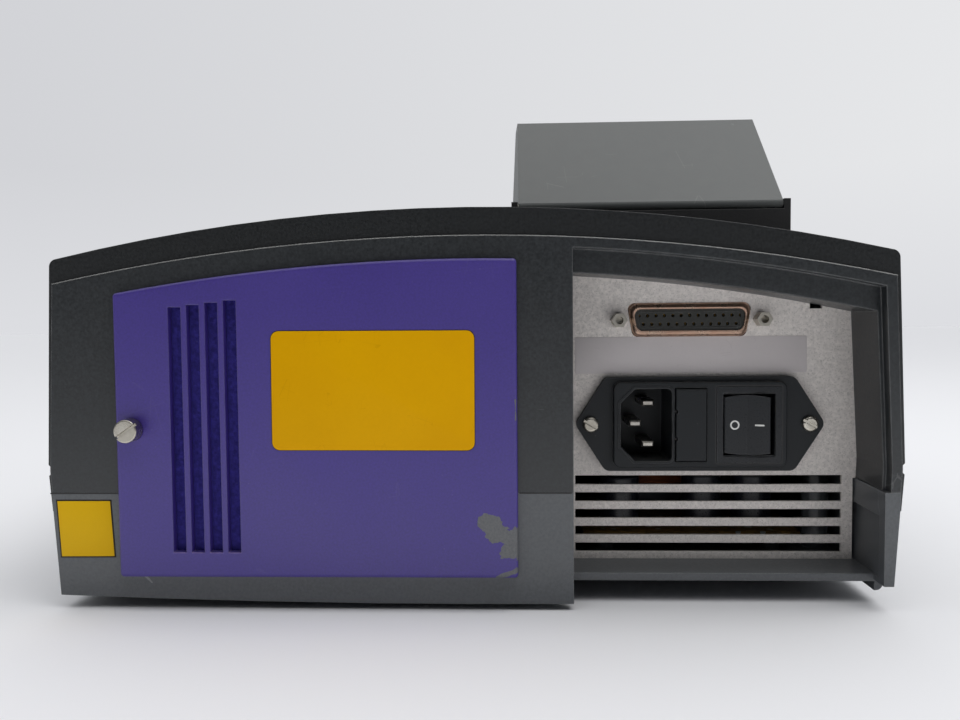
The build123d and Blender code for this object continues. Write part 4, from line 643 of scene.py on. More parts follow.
@dataclass(frozen=True)
class WoundCore(AlongDepth):
    """Varnished laminations, with copper windings on what stands out in front and behind."""

    steel: Colour
    copper: Colour

    def wire(self, graph: Graph) -> None:
        """Thin sheets across the depth and turns of wire up the coil."""
        depth, height, coil = self.split(graph)
        sheets = graph.math("SINE", graph.math("MULTIPLY", depth, 2 * math.pi / 0.0007))
        turns = graph.math("SINE", graph.math("MULTIPLY", height, 2 * math.pi / 0.0006))
        clouds = graph.effect(Effect.CLOUDS, scale=120.0, seed=2.0)
        steel = graph.mix(graph.remap(sheets, -1.0, 1.0, 0.0, 0.7), self.steel,
                          scaled(self.steel, 1.9))
        copper = graph.mix(graph.remap(turns, -1.0, 1.0), scaled(self.copper, 0.45), self.copper)
        base = graph.coats(graph.mix(coil, steel, copper),
                           (scaled(self.steel, 1.4), clouds[0], 0.35))
        relief = graph.math("ADD", graph.math("MULTIPLY", turns, coil), sheets)
        graph.surface(base, graph.spread(clouds[0], 0.32, 0.5),
                      metallic=graph.spread(coil, 0.2, 0.7), normal=graph.bump(relief, 0.00005))


@dataclass(frozen=True)
class CappedTube(AlongDepth):
    """Glass tube with a plated cap at each end, along Y."""

    glass: Colour
    cap: Colour

    def wire(self, graph: Graph) -> None:
        """Plated metal outside the middle stretch and milky glass inside it."""
        _, _, capped = self.split(graph)
        clouds = graph.effect(Effect.CLOUDS, scale=400.0, seed=2.0)
        base = graph.coats(graph.mix(capped, self.glass, self.cap),
                           (scaled(self.cap, 0.6), clouds[0], 0.25))
        graph.surface(base, graph.spread(clouds[0], 0.12, 0.3), metallic=capped)


@dataclass(frozen=True)
class RuledMirror:
    """Aluminised glass with a coat that scatters colour."""

    name: str
    colour: Colour
    diffraction_sheen: float = 0.0

    def wire(self, graph: Graph) -> None:
        """Bright coat with faint haze, and where it is ruled, painted bands of colour that change
        with the viewing angle, standing in for light split by the grating.
        """
        clouds = graph.effect(Effect.CLOUDS, scale=60.0, seed=4.0)
        base = graph.coats(self.colour, (scaled(self.colour, 0.85), clouds[0], 0.15))
        # Painted diffraction sheen: colours picked by the viewing angle.
        if self.diffraction_sheen:
            glance = graph.add("ShaderNodeLayerWeight", {"Blend": 0.5}).outputs["Facing"]
            ramp = graph.add("ShaderNodeValToRGB", {0: glance})
            stops = ramp.color_ramp.elements
            stops[0].color = rgba((0.25, 0.1, 0.6))
            stops[1].color = rgba((0.8, 0.15, 0.1))
            for share, colour in ((0.3, (0.1, 0.5, 0.8)), (0.5, (0.2, 0.8, 0.3)),
                                  (0.7, (0.9, 0.7, 0.15))):
                stops.new(share).color = rgba(colour)
            base = graph.mix(self.diffraction_sheen, base, ramp.outputs[0])
        graph.surface(base, graph.spread(clouds[0], 0.03, 0.09), metallic=1.0)


class Paintbox:
    """Keeps one material for each finish."""

    def __init__(self) -> None:
        """Starts with no material made."""
        self.effects = EffectLibrary()
        self._materials: dict[str, bpy.types.Material] = {}

    def material(self, finish: Finish) -> bpy.types.Material:
        """The finish's material.

        Args:
            finish: Any of the finishes.

        Returns:
            The material, made on first use.
        """
        if finish.name not in self._materials:
            made = bpy.data.materials.new(finish.name)
            made.use_nodes = True
            made.node_tree.nodes.clear()
            finish.wire(Graph(made.node_tree, self.effects))
            self._materials[finish.name] = made
        return self._materials[finish.name]

    def dress(self, name: str, finish: Finish) -> None:
        """Gives a CAD node its finish.

        Args:
            name: The node's name.
            finish: Its finish.
        """
        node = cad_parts[name]
        if not node.material_slots:
            node.data.materials.append(self.material(finish))
        for item in node.material_slots:
            item.material = self.material(finish)
        LOG.info("dressed %s in %s", name, finish.name)


# Shapes


def facing_rear(x: float, y: float, z: float) -> Matrix:
    """Place on a face that looks out of the rear, its own x to the viewer's right."""
    return Matrix(((-1, 0, 0, x), (0, 0, 1, y), (0, 1, 0, z), (0, 0, 0, 1)))


def facing_up(x: float, y: float, z: float) -> Matrix:
    """Place on a face that looks up."""
    return Matrix.Translation((x, y, z))


def facing_side(x: float, y: float, z: float) -> Matrix:
    """Place on a face that looks along +X, its own x along Y."""
    return Matrix(((0, 0, 1, x), (1, 0, 0, y), (0, 1, 0, z), (0, 0, 0, 1)))


def spun(degrees: float, axis: str = "Z") -> Matrix:
    """A turn about an axis."""
    return Matrix.Rotation(math.radians(degrees), 4, axis)


@dataclass(frozen=True)
class DeckPlane:
    """The operator's sloping deck."""

    front: float = -195.0
    nose: float = 50.0
    tilt: float = 24.0

    def at(self, x: float, slope: float, level: float) -> Matrix:
        """Place on the deck.

        Args:
            x: Across the deck, in mm.
            slope: Up the slope from its front edge, in mm.
            level: Above the deck along its normal, in mm.

        Returns:
            The place, its own y running up the slope.
        """
        _, sin, cos = (abs(part) for part in self.normal())
        y = self.front + slope * cos - level * sin
        z = self.nose + slope * sin + level * cos
        return Matrix(((1, 0, 0, x), (0, cos, -sin, y), (0, sin, cos, z), (0, 0, 0, 1)))

    def normal(self) -> Spot:
        """The deck's normal."""
        return (0.0, -math.sin(math.radians(self.tilt)), math.cos(math.radians(self.tilt)))


DECK = DeckPlane()

# How far the upper edges of prints and films are eased, in mm
INK_EDGE = 0.01
FILM_EDGE = 0.03


def arc(radius: float, start: float, sweep: float, steps: int, centre: Point = (0.0, 0.0)
        ) -> list[Point]:
    """Points along an arc, both ends included, anticlockwise for a positive sweep."""
    angles = [start + sweep * step / steps for step in range(steps + 1)]
    return [(centre[0] + radius * math.cos(a), centre[1] + radius * math.sin(a)) for a in angles]


def rounded(width: float, height: float, radius: float, steps: int = 6) -> list[Point]:
    """Outline of a rectangle with round corners, anticlockwise."""
    points = []
    for turn, (sx, sy) in enumerate(((1, 1), (-1, 1), (-1, -1), (1, -1))):
        centre = sx * (width / 2 - radius), sy * (height / 2 - radius)
        points += arc(radius, math.pi / 2 * turn, math.pi / 2, steps, centre)
    return points


def circle(radius: float, steps: int = 24) -> list[Point]:
    """Outline of a circle, anticlockwise."""
    return arc(radius, 0.0, 2 * math.pi, steps)[:-1]


def inset(outline: Sequence[Point], amount: float) -> list[Point]:
    """The outline drawn in by an amount along its corners."""
    made = []
    for index, (x, y) in enumerate(outline):
        before, after = outline[index - 1], outline[(index + 1) % len(outline)]
        first = Vector((x - before[0], y - before[1])).normalized()
        second = Vector((after[0] - x, after[1] - y)).normalized()
        inward = Vector((-(first.y + second.y), first.x + second.x))
        bend = max(0.35, math.sqrt(max(0.0, (1 + first.dot(second)) / 2)))
        inward = inward.normalized() * (amount / bend) if inward.length > 1e-9 else Vector((0, 0))
        made.append((x + inward.x, y + inward.y))
    return made


def link(name: str, data: Any) -> bpy.types.Object:
    """A new object in the scene."""
    made = bpy.data.objects.new(name, data)
    bpy.context.scene.collection.objects.link(made)
    return made


def settle(name: str, mesh: bpy.types.Mesh, material: bpy.types.Material, body: str) -> None:
    """Puts a mesh on a body as a piece.

    Args:
        name: The piece's name.
        mesh: Its mesh.
        material: Its material.
        body: The CAD body it moves with.
    """
    mesh.materials.append(material)
    piece = link(name, mesh)
    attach(piece, body)
    LOG.info("made %s on %s, %d faces", name, body, len(mesh.polygons))


class Shape:
    """Points and faces of one piece, gathered in millimetres."""

    def __init__(self, name: str) -> None:
        """Starts an empty piece with a name."""
        self.name = name
        self.points: list[Vector] = []
        self.faces: list[list[int]] = []

    def ring(self, outline: Iterable[Point], place: Matrix, level: float) -> list[int]:
        """Adds an outline at a level of a place and returns its point numbers."""
        start = len(self.points)
        self.points += [place @ Vector((x, y, level)) for x, y in outline]
        return list(range(start, len(self.points)))

    def skin(self, rings: Sequence[list[int]], ends: bool = False) -> "Shape":
        """Joins closed rings of equal length with faces.

        Args:
            rings: Point numbers of each ring.
            ends: Whether the first and the last ring are closed with a face.

        Returns:
            This shape.
        """
        for low, high in zip(rings, rings[1:]):
            for i in range(len(low)):
                j = (i + 1) % len(low)
                self.faces.append([low[i], low[j], high[j], high[i]])
        if ends:
            self.faces += [rings[0][::-1], rings[-1]]
        return self

    def plate(self, outline: Sequence[Point], place: Matrix, thick: float,
              edge: float = 0.0) -> "Shape":
        """Adds a flat plate with an eased upper edge.

        Args:
            outline: Its outline.
            place: Where it lies.
            thick: Its thickness.
            edge: How far the upper edge is eased.

        Returns:
            This shape.
        """
        rings = [self.ring(outline, place, 0.0), self.ring(outline, place, thick - edge)]
        if edge:
            rings.append(self.ring(inset(outline, edge * 0.3), place, thick - edge * 0.3))
            rings.append(self.ring(inset(outline, edge), place, thick))
        return self.skin(rings, ends=True)

    def border(self, outer: Sequence[Point], inner: Sequence[Point], place: Matrix, thick: float,
               edge: float) -> "Shape":
        """Adds a frame between two outlines with equal numbers of points.

        Args:
            outer: Its outer outline.
            inner: Its inner outline.
            place: Where it lies.
            thick: Its thickness.
            edge: How far its upper edges are eased.

        Returns:
            This shape.
        """
        rings = [self.ring(inner, place, 0.0), self.ring(outer, place, 0.0),
                 self.ring(outer, place, thick - edge),
                 self.ring(inset(outer, edge), place, thick),
                 self.ring(inset(inner, -edge), place, thick),
                 self.ring(inner, place, thick - edge)]
        return self.skin(rings + rings[:1])

    def turned(self, profile: Sequence[Point], place: Matrix, steps: int = 32) -> "Shape":
        """Adds a turned form.

        Args:
            profile: Radius and level of each ring; a radius of 0 closes the end.
            place: Where its axis stands.
            steps: Points round the axis.

        Returns:
            This shape.
        """
        rings = [self.ring(circle(max(radius, 0.001), steps), place, level)
                 for radius, level in profile]
        self.skin(rings)
        if profile[0][0] <= 0.001:
            self.faces.append(rings[0][::-1])
        if profile[-1][0] <= 0.001:
            self.faces.append(rings[-1])
        return self

    def tube(self, path: Sequence[Vector], radius: float, steps: int) -> "Shape":
        """Adds a round bar along a path of points."""
        rings = []
        for index, point in enumerate(path):
            ahead = path[min(index + 1, len(path) - 1)] - path[max(index - 1, 0)]
            turn = ahead.normalized().to_track_quat("Z", "Y").to_matrix().to_4x4()
            rings.append(self.ring(circle(radius, steps), Matrix.Translation(point) @ turn, 0.0))
        return self.skin(rings, ends=True)

    def make(self, box: Paintbox, finish: Finish, slot: str | None = None,
             body: str = "housing", crease: float = 35.0) -> None:
        """Turns the gathered faces into a piece that rides on a body.

        Args:
            box: Where the finish's material comes from.
            finish: The piece's finish.
            slot: The record's slot that the finish belongs to; not used.
            body: The CAD body it moves with.
            crease: Angle above which an edge stays sharp, in degrees.
        """
        mesh = bpy.data.meshes.new(self.name)
        mesh.from_pydata([point * MM for point in self.points], [], self.faces)
        mesh.update()
        mesh.shade_smooth()
        mesh.set_sharp_from_angle(angle=math.radians(crease))
        settle(self.name, mesh, box.material(finish), body)


def four_corners(middle: Spot, reach: Point) -> list[Matrix]:
    """Places at the four corners round a middle."""
    x, y, z = middle
    return [facing_up(x + side_x * reach[0], y + side_y * reach[1], z)
            for side_x in (-1, 1) for side_y in (-1, 1)]


def turned_set(name: str, profile: Sequence[Point], places: Iterable[Matrix]) -> Shape:
    """A piece of alike turned forms, one at each place."""
    made = Shape(name)
    for place in places:
        made.turned(profile, place, steps=24)
    return made


def legend(name: str, words: str, place: Matrix, size: float, thick: float,
           material: bpy.types.Material, body: str) -> None:
    """Printed figures as a flat piece.

    Args:
        name: The piece's name.
        words: The figures.
        place: Middle of the print.
        size: Height of the type, in mm.
        thick: Thickness of the ink, in mm.
        material: The ink.
        body: The CAD body it moves with.
    """
    type_face = bpy.data.curves.new(name, "FONT")
    type_face.body, type_face.size, type_face.extrude = words, size, thick / 2
    type_face.align_x, type_face.align_y = "CENTER", "CENTER"
    holder = link(name + "_type", type_face)
    bpy.context.view_layer.update()
    mesh = bpy.data.meshes.new_from_object(holder.evaluated_get(
        bpy.context.evaluated_depsgraph_get()))
    bpy.data.objects.remove(holder)
    mesh.name = name
    mesh.transform(Matrix.Scale(MM, 4) @ place @ Matrix.Translation((0, 0, thick / 2)))
    mesh.materials.clear()
    settle(name, mesh, material, body)


# The palette

# One charcoal plastic in three shades: the top cover darkest as painted shade, the rear moulding
# between with a painted highlight on its upward corners, and the base pan palest as painted light
# thrown up from the floor.
CHARCOAL = Moulding("textured_charcoal", paint(24, 26, 27), roughness=0.34, pale_corners=0.4,
                    depth=0.00002, mottle=0.4, dust=0.05, specular=0.5)
CHARCOAL_REAR = replace(CHARCOAL, name="textured_rear", colour=paint(36, 39, 41), pale_corners=0.5,
                        corner=0.0007, top_edge_highlight=1.0, seed=20.0)
FLOOR_LIT_CHARCOAL = replace(CHARCOAL, name="textured_base_floor_lit", colour=paint(82, 85, 88), pale_corners=0.5,
                        mottle=0.16, seed=21.0,
                        scuff=((0.1035, 0.187, 0.0115), (0.1005, 0.187, 0.0085), 0.00035))
HOOD_GREY = Moulding("smooth_hood_grey", paint(80, 83, 82), roughness=0.46, grain=2600.0,
                     depth=0.00001, mottle=0.05, pale_corners=0.4, dust=0.12, scratches=0.36, seed=4.0)
WELL_BLACK = Moulding("matt_well_black", paint(28, 28, 29), roughness=0.7, pale_corners=0.3, seed=2.0)
RUBBER = Moulding("foot_rubber", paint(24, 24, 24), roughness=0.82, grain=2200.0, pale_corners=0.1,
                  dust=0.4, specular=0.3, seed=6.0)
INLET_BLACK = Moulding("inlet_slate", paint(27, 30, 33), roughness=0.4, grain=2400.0, pale_corners=0.5,
                       depth=0.000006, mottle=0.12, corner=0.0003, dust=0.1, seed=7.0,
                       specular=0.25)
ROCKER_BLACK = Moulding("rocker_black", paint(24, 27, 31), roughness=0.3, grain=2600.0, pale_corners=0.4,
                        depth=0.000004, mottle=0.06, dust=0.08, seed=8.0, specular=0.3)
SOCKET_BLACK = Moulding("socket_black", paint(38, 39, 36), roughness=0.5, grain=2600.0,
                        depth=0.00001, pale_corners=0.3, dust=0.1, seed=9.0)
FAN_BLACK = Moulding("fan_black", paint(22, 22, 24), roughness=0.5, dust=0.3, seed=10.0)
FASCIA_GREY = Moulding("fascia_grey", paint(86, 86, 92), roughness=0.5, grain=2400.0, pale_corners=0.35,
                       depth=0.000012, mottle=0.06, dust=0.14, seed=11.0)
START_GREEN = Moulding("start_green", paint(52, 118, 78), roughness=0.42, grain=2600.0, pale_corners=0.2,
                       depth=0.000008, mottle=0.06, dust=0.06, seed=13.0)
STOP_RED = replace(START_GREEN, name="stop_red", colour=paint(158, 46, 40), seed=14.0)
KEY_GREY = replace(START_GREEN, name="key_grey", colour=paint(176, 176, 172), roughness=0.44,
                   mottle=0.05, seed=12.0)
FOAM_NAVY = Moulding("louvre_foam", paint(52, 46, 122), roughness=0.95, grain=1100.0, pale_corners=0.0,
                     depth=0.00025, mottle=0.4, dust=0.1, seed=17.0, specular=0.1)
FOAM_BLACK = Moulding("seal_foam", paint(22, 22, 22), roughness=0.95, grain=900.0, pale_corners=0.0,
                      depth=0.0002, dust=0.2, seed=15.0, specular=0.2)
CAN_SLEEVE = Moulding("can_sleeve", paint(26, 28, 38), roughness=0.3, grain=2600.0, pale_corners=0.1,
                      depth=0.000005, seed=16.0)

VIOLET = VioletPaint("violet_coat", paint(60, 45, 128), paint(94, 96, 98), (
    ((-0.0056, 0.190, 0.0286), (-0.0085, 0.190, 0.0266), 0.0032),
    ((-0.0098, 0.190, 0.0250), (-0.0142, 0.190, 0.0228), 0.0042),
    ((-0.0118, 0.190, 0.0200), (-0.0152, 0.190, 0.0196), 0.0034),
    ((-0.0090, 0.190, 0.0111), (-0.0153, 0.190, 0.0136), 0.0008),
    ((-0.0150, 0.190, 0.0600), (-0.0150, 0.190, 0.0660), 0.0004)))
PANEL_GREY = SpeckledSheet("speckled_panel", paint(224, 218, 213), paint(124, 121, 118))

ZINC = WorkedMetal("zinc_plate", paint(186, 182, 172), roughness=0.28,
                   tarnish=paint(120, 110, 92), tarnish_share=0.35)
CHROMATE = WorkedMetal("warm_plated_shell", paint(205, 178, 158), roughness=0.26,
                       tarnish=paint(190, 140, 116), tarnish_share=0.6, seed=3.0)
NICKEL = WorkedMetal("nickel_blades", paint(184, 180, 172), roughness=0.26,
                     stretch=(1.0, 0.1, 1.0), seed=4.0)
GOLD = WorkedMetal("gold_contacts", paint(206, 168, 96), roughness=0.24, seed=5.0)
ANODISED = WorkedMetal("black_anodised", paint(44, 44, 48), roughness=0.42, metallic=0.7,
                       stretch=(1.0, 0.15, 1.0), seed=6.0)
CASTING = WorkedMetal("bench_casting", paint(164, 165, 168), roughness=0.44, scale=700.0,
                      depth=0.00005, pale_corners=0.5, seed=7.0)
MOTOR_STEEL = WorkedMetal("motor_steel", paint(170, 170, 170), stretch=(0.1, 1.0, 1.0), seed=8.0)
SCREW_STEEL = WorkedMetal("screw_steel", paint(120, 120, 124), roughness=0.32, seed=9.0)

LAMP_GLASS = ClearGlass("lamp_quartz", (0.95, 0.97, 0.98))
LENS_GLASS = ClearGlass("lens_glass", (0.93, 0.97, 0.96), ior=1.52)
PANE = ClearGlass("display_pane", (0.88, 0.91, 0.9), roughness=0.03, ior=1.35)
MIRROR = RuledMirror("mirror_coat", (0.9, 0.91, 0.93))
GRATING = RuledMirror("ruled_coat", (0.85, 0.87, 0.9), diffraction_sheen=0.45)
FUSE_TUBE = CappedTube("fuse_tube", 0.1540, 0.0050, (0.72, 0.76, 0.76), paint(196, 192, 184))
CORE = WoundCore("transformer_core", 0.098, 0.0191, paint(40, 40, 44), paint(178, 98, 58))
BOARD = CircuitBoard("main_board", (0.0, 0.0, 1.0), 0.01925)
SUPPLY = CircuitBoard("supply_board", (0.0, 0.0, 1.0), 0.01725, paint(110, 84, 40),
                      paint(140, 108, 54))
SENSOR = CircuitBoard("detector_board", (-1.0, 0.0, 0.0), 0.12265)
KEY_BOARD = CircuitBoard(
    "key_board", DECK.normal(),
    Vector(DECK.normal()).dot(DECK.at(0.0, 0.0, -6.9).translation) * MM, case=paint(60, 60, 62))

YELLOW_FILM = LabelFilm("yellow_film", paint(226, 168, 3), paint(214, 154, 3), specular=0.05)
STICKER_FILM = LabelFilm("sticker_film", paint(228, 182, 20), paint(212, 164, 16), specular=0.1)
# Dark film for the painted shade round the labels, and for the fan's hub disc.
DARK_FILM = LabelFilm("dark_label_film", paint(46, 40, 30), paint(38, 34, 28))
SILVER_FILM = LabelFilm("silver_film", paint(206, 200, 200), paint(192, 186, 185), 0.34)
DISPLAY_FACE = LabelFilm("display_face", paint(140, 154, 122), paint(130, 144, 114), 0.5)
WHITE_INK = Ink("white_ink", paint(224, 224, 220))
PALE_INK = Ink("pale_line_ink", paint(176, 176, 180))
BLACK_INK = Ink("black_ink", paint(24, 24, 26))
LCD_INK = Ink("display_segments", paint(28, 32, 30))
LCD_GHOST = Ink("display_ghosts", paint(130, 143, 114))
VIOLET_INK = Ink("violet_stripe_ink", paint(84, 72, 150))


# Sub-assemblies


class Assembly:
    """A sub-assembly, with the finishes that its CAD nodes wear."""

    coats: ClassVar[dict[str, Finish]] = {}

    def dress(self, box: Paintbox) -> None:
        """Gives the sub-assembly's nodes their finishes."""
        for name, finish in self.coats.items():
            box.dress(name, finish)


@dataclass
class Case(Assembly):
    """The two mouldings of the case, the rear moulding, feet and screws."""

    mark_y: float = 187.0
    sticker: Outline = ((130.6, 34.9), (112.8, 34.9), (111.8, 16.5), (129.6, 16.4))
    sticker_rim: float = 0.42
    film: float = 0.12
    seam_z: float = 36.9
    seam_height: float = 0.45
    seam_thick: float = 0.03
    seam_runs: Outline = ((110.0, 132.4), (-32.0, -15.9))
    coats = {"base_pan": FLOOR_LIT_CHARCOAL, "top_cover": CHARCOAL, "rear_frame": CHARCOAL_REAR,
             "feet": RUBBER, "case_screws": ZINC}

    def build(self, box: Paintbox) -> None:
        """Sticks the blank yellow square on over a dark rim of painted shade and draws a painted
        shadow in the seam of the mouldings.
        """
        outline = [(-x, z) for x, z in reversed(self.sticker)]
        # A dark film a little larger than the sticker, painted shade round its edge.
        Shape("flank_sticker_edge_shade").plate(
            outline, facing_rear(0.0, self.mark_y, 0.0), self.film, FILM_EDGE).make(box, DARK_FILM)
        Shape("flank_sticker").plate(
            inset(outline, self.sticker_rim), facing_rear(0.0, self.mark_y + self.film, 0.0),
            self.film / 3, INK_EDGE).make(box, STICKER_FILM)
        seam = Shape("rear_seam_shadow")
        for low, high in self.seam_runs:
            seam.plate(rounded(high - low, self.seam_height, 0.1, steps=2), facing_rear(
                (low + high) / 2, self.mark_y, self.seam_z), self.seam_thick, INK_EDGE)
        seam.make(box, BLACK_INK, "case_plastic")


@dataclass
class LampDoor(Assembly):
    """The violet access door, its screw, its blank label and the foam behind its louvres."""

    label_place: Spot = (28.85, 190.0, 69.2)
    label_turn: float = -0.004
    label_size: Point = (62.9, 37.1)
    label_corner: float = 2.6
    label_rim: float = 0.22
    film: float = 0.15
    rim_share: float = 0.6
    foam_place: Spot = (81.3, 185.8, 58.5)
    foam_size: Point = (23.8, 80.2)
    foam_thick: float = 1.2
    coats = {"lamp_cover": VIOLET, "lamp_cover_screw": ZINC}

    def build(self, box: Paintbox) -> None:
        """Sticks the blank label on over a dark rim of painted shade and sets foam behind the
        louvres.
        """
        outline = rounded(*self.label_size, self.label_corner)
        place = facing_rear(*self.label_place) @ Matrix.Rotation(self.label_turn, 4, "Z")
        rim = self.film * self.rim_share
        # A dark film under the label, showing round it as painted shade at its edge.
        Shape("door_label_edge_shade").plate(outline, place, rim, 0.02).make(
            box, DARK_FILM, body="lamp_door")
        Shape("door_label").plate(
            inset(outline, self.label_rim), place @ facing_up(0, 0, rim),
            self.film * (1 - self.rim_share), FILM_EDGE).make(box, YELLOW_FILM, body="lamp_door")
        Shape("louvre_filter").plate(
            rounded(*self.foam_size, 1.0, steps=3), facing_rear(*self.foam_place),
            self.foam_thick, 0.2).make(box, FOAM_NAVY, body="lamp_door")


@dataclass
class ConnectorPanel(Assembly):
    """The speckled panel in the recess, with its blank rating strip."""

    strip_place: Spot = (-73.125, 162.5, 78.3)
    strip_size: Point = (76.55, 12.2)
    film: float = 0.1
    coats = {"connector_panel": PANEL_GREY}

    def build(self, box: Paintbox) -> None:
        """Sticks the blank strip between the socket and the inlet."""
        Shape("rating_strip").plate(
            rounded(*self.strip_size, 0.5, steps=3), facing_rear(*self.strip_place), self.film,
            FILM_EDGE).make(box, SILVER_FILM)


@dataclass
class InterfaceSocket(Assembly):
    """The 25-way socket: drawn shell, moulded core, contacts and jack nuts."""

    x: float = -72.7
    z: float = 90.0
    panel_y: float = 162.5
    front_y: float = 164.1
    lip: Point = (38.4, 8.4)
    foot: Point = (41.2, 11.2)
    drawn_in: float = 0.4
    corner: float = 2.2
    corner_gain: float = 0.8
    slope: float = 10.0
    flare: Outline = ((0.0, -0.25), (0.06, 0.35), (0.25, 0.85), (0.55, 1.25))
    rolled_lip: Outline = ((0.86, -0.12), (1.0, 0.1), (1.08, 0.02))
    pitch: float = 2.77
    row: float = 1.42
    columns: int = 13
    sleeve: float = 0.53
    sleeve_bore: float = 0.34
    sleeve_foot: float = -2.4
    sleeve_top: float = -2.1
    sleeve_sink: float = 0.6
    ridge: tuple[Spot, Spot] = ((3.6, 2.8, 1.4), (4.4, 3.6, 1.2))
    ridge_sink: float = 0.62
    ridge_thick: float = 0.12
    coats = {"interface_shell": CHROMATE, "interface_core": SOCKET_BLACK, "jack_nuts": ZINC}

    def outline(self, width: float, height: float, corner: float) -> list[Point]:
        """Tapered outline with round corners, wider at the top.

        Args:
            width: Width at the top.
            height: Height.
            corner: Radius of its corners.

        Returns:
            Points, anticlockwise.
        """
        lean = height * math.tan(math.radians(self.slope))
        corners = [Vector(spot) for spot in (
            (width / 2, height / 2), (-width / 2, height / 2),
            (-width / 2 + lean, -height / 2), (width / 2 - lean, -height / 2))]
        points: list[Point] = []
        for index, here in enumerate(corners):
            into = (here - corners[index - 1]).normalized()
            out = (corners[(index + 1) % 4] - here).normalized()
            half = math.acos(max(-1.0, min(1.0, into.dot(out)))) / 2
            centre = here - into * (corner * math.tan(half)) + Vector((-into.y, into.x)) * corner
            points += arc(corner, math.atan2(-into.x, into.y), 2 * half, 6, tuple(centre))
        return points

    def build(self, box: Paintbox) -> None:
        """Adds the drawn flare round the shell, the contact sleeves and the core's ridge."""
        place = facing_rear(self.x, self.panel_y, self.z)
        flare, rings = Shape("shell_flare"), []
        depth = self.front_y - self.panel_y
        for share, level in (*self.flare, *((s, depth + over) for s, over in self.rolled_lip)):
            width, height = (foot + (lip - self.drawn_in - foot) * share
                             for foot, lip in zip(self.foot, self.lip))
            corner = self.corner + self.corner_gain * (1 - share)
            rings.append(flare.ring(self.outline(width, height, corner), place, level))
        flare.skin(rings).make(box, CHROMATE, "zinc_steel", crease=60.0)
        sleeves = Shape("contact_sleeves")
        profile = ((self.sleeve_bore, self.sleeve_foot), (self.sleeve_bore, self.sleeve_top),
                   (self.sleeve, self.sleeve_top), (self.sleeve, self.sleeve_foot))
        top = [((i - (self.columns - 1) / 2) * self.pitch, self.row) for i in range(self.columns)]
        for x, z in top + [(x + self.pitch / 2, -self.row) for x, _ in top[:-1]]:
            sleeves.turned(profile, facing_rear(self.x + x, self.front_y - self.sleeve_sink,
                                                self.z + z), steps=12)
        sleeves.make(box, GOLD, "contact_brass")
        ridge = [self.outline(self.lip[0] - across, self.lip[1] - up, corner)
                 for across, up, corner in self.ridge]
        Shape("core_ridge").border(
            *ridge, facing_rear(self.x, self.front_y - self.ridge_sink, self.z),
            self.ridge_thick, FILM_EDGE).make(box, SOCKET_BLACK, "socket_core")


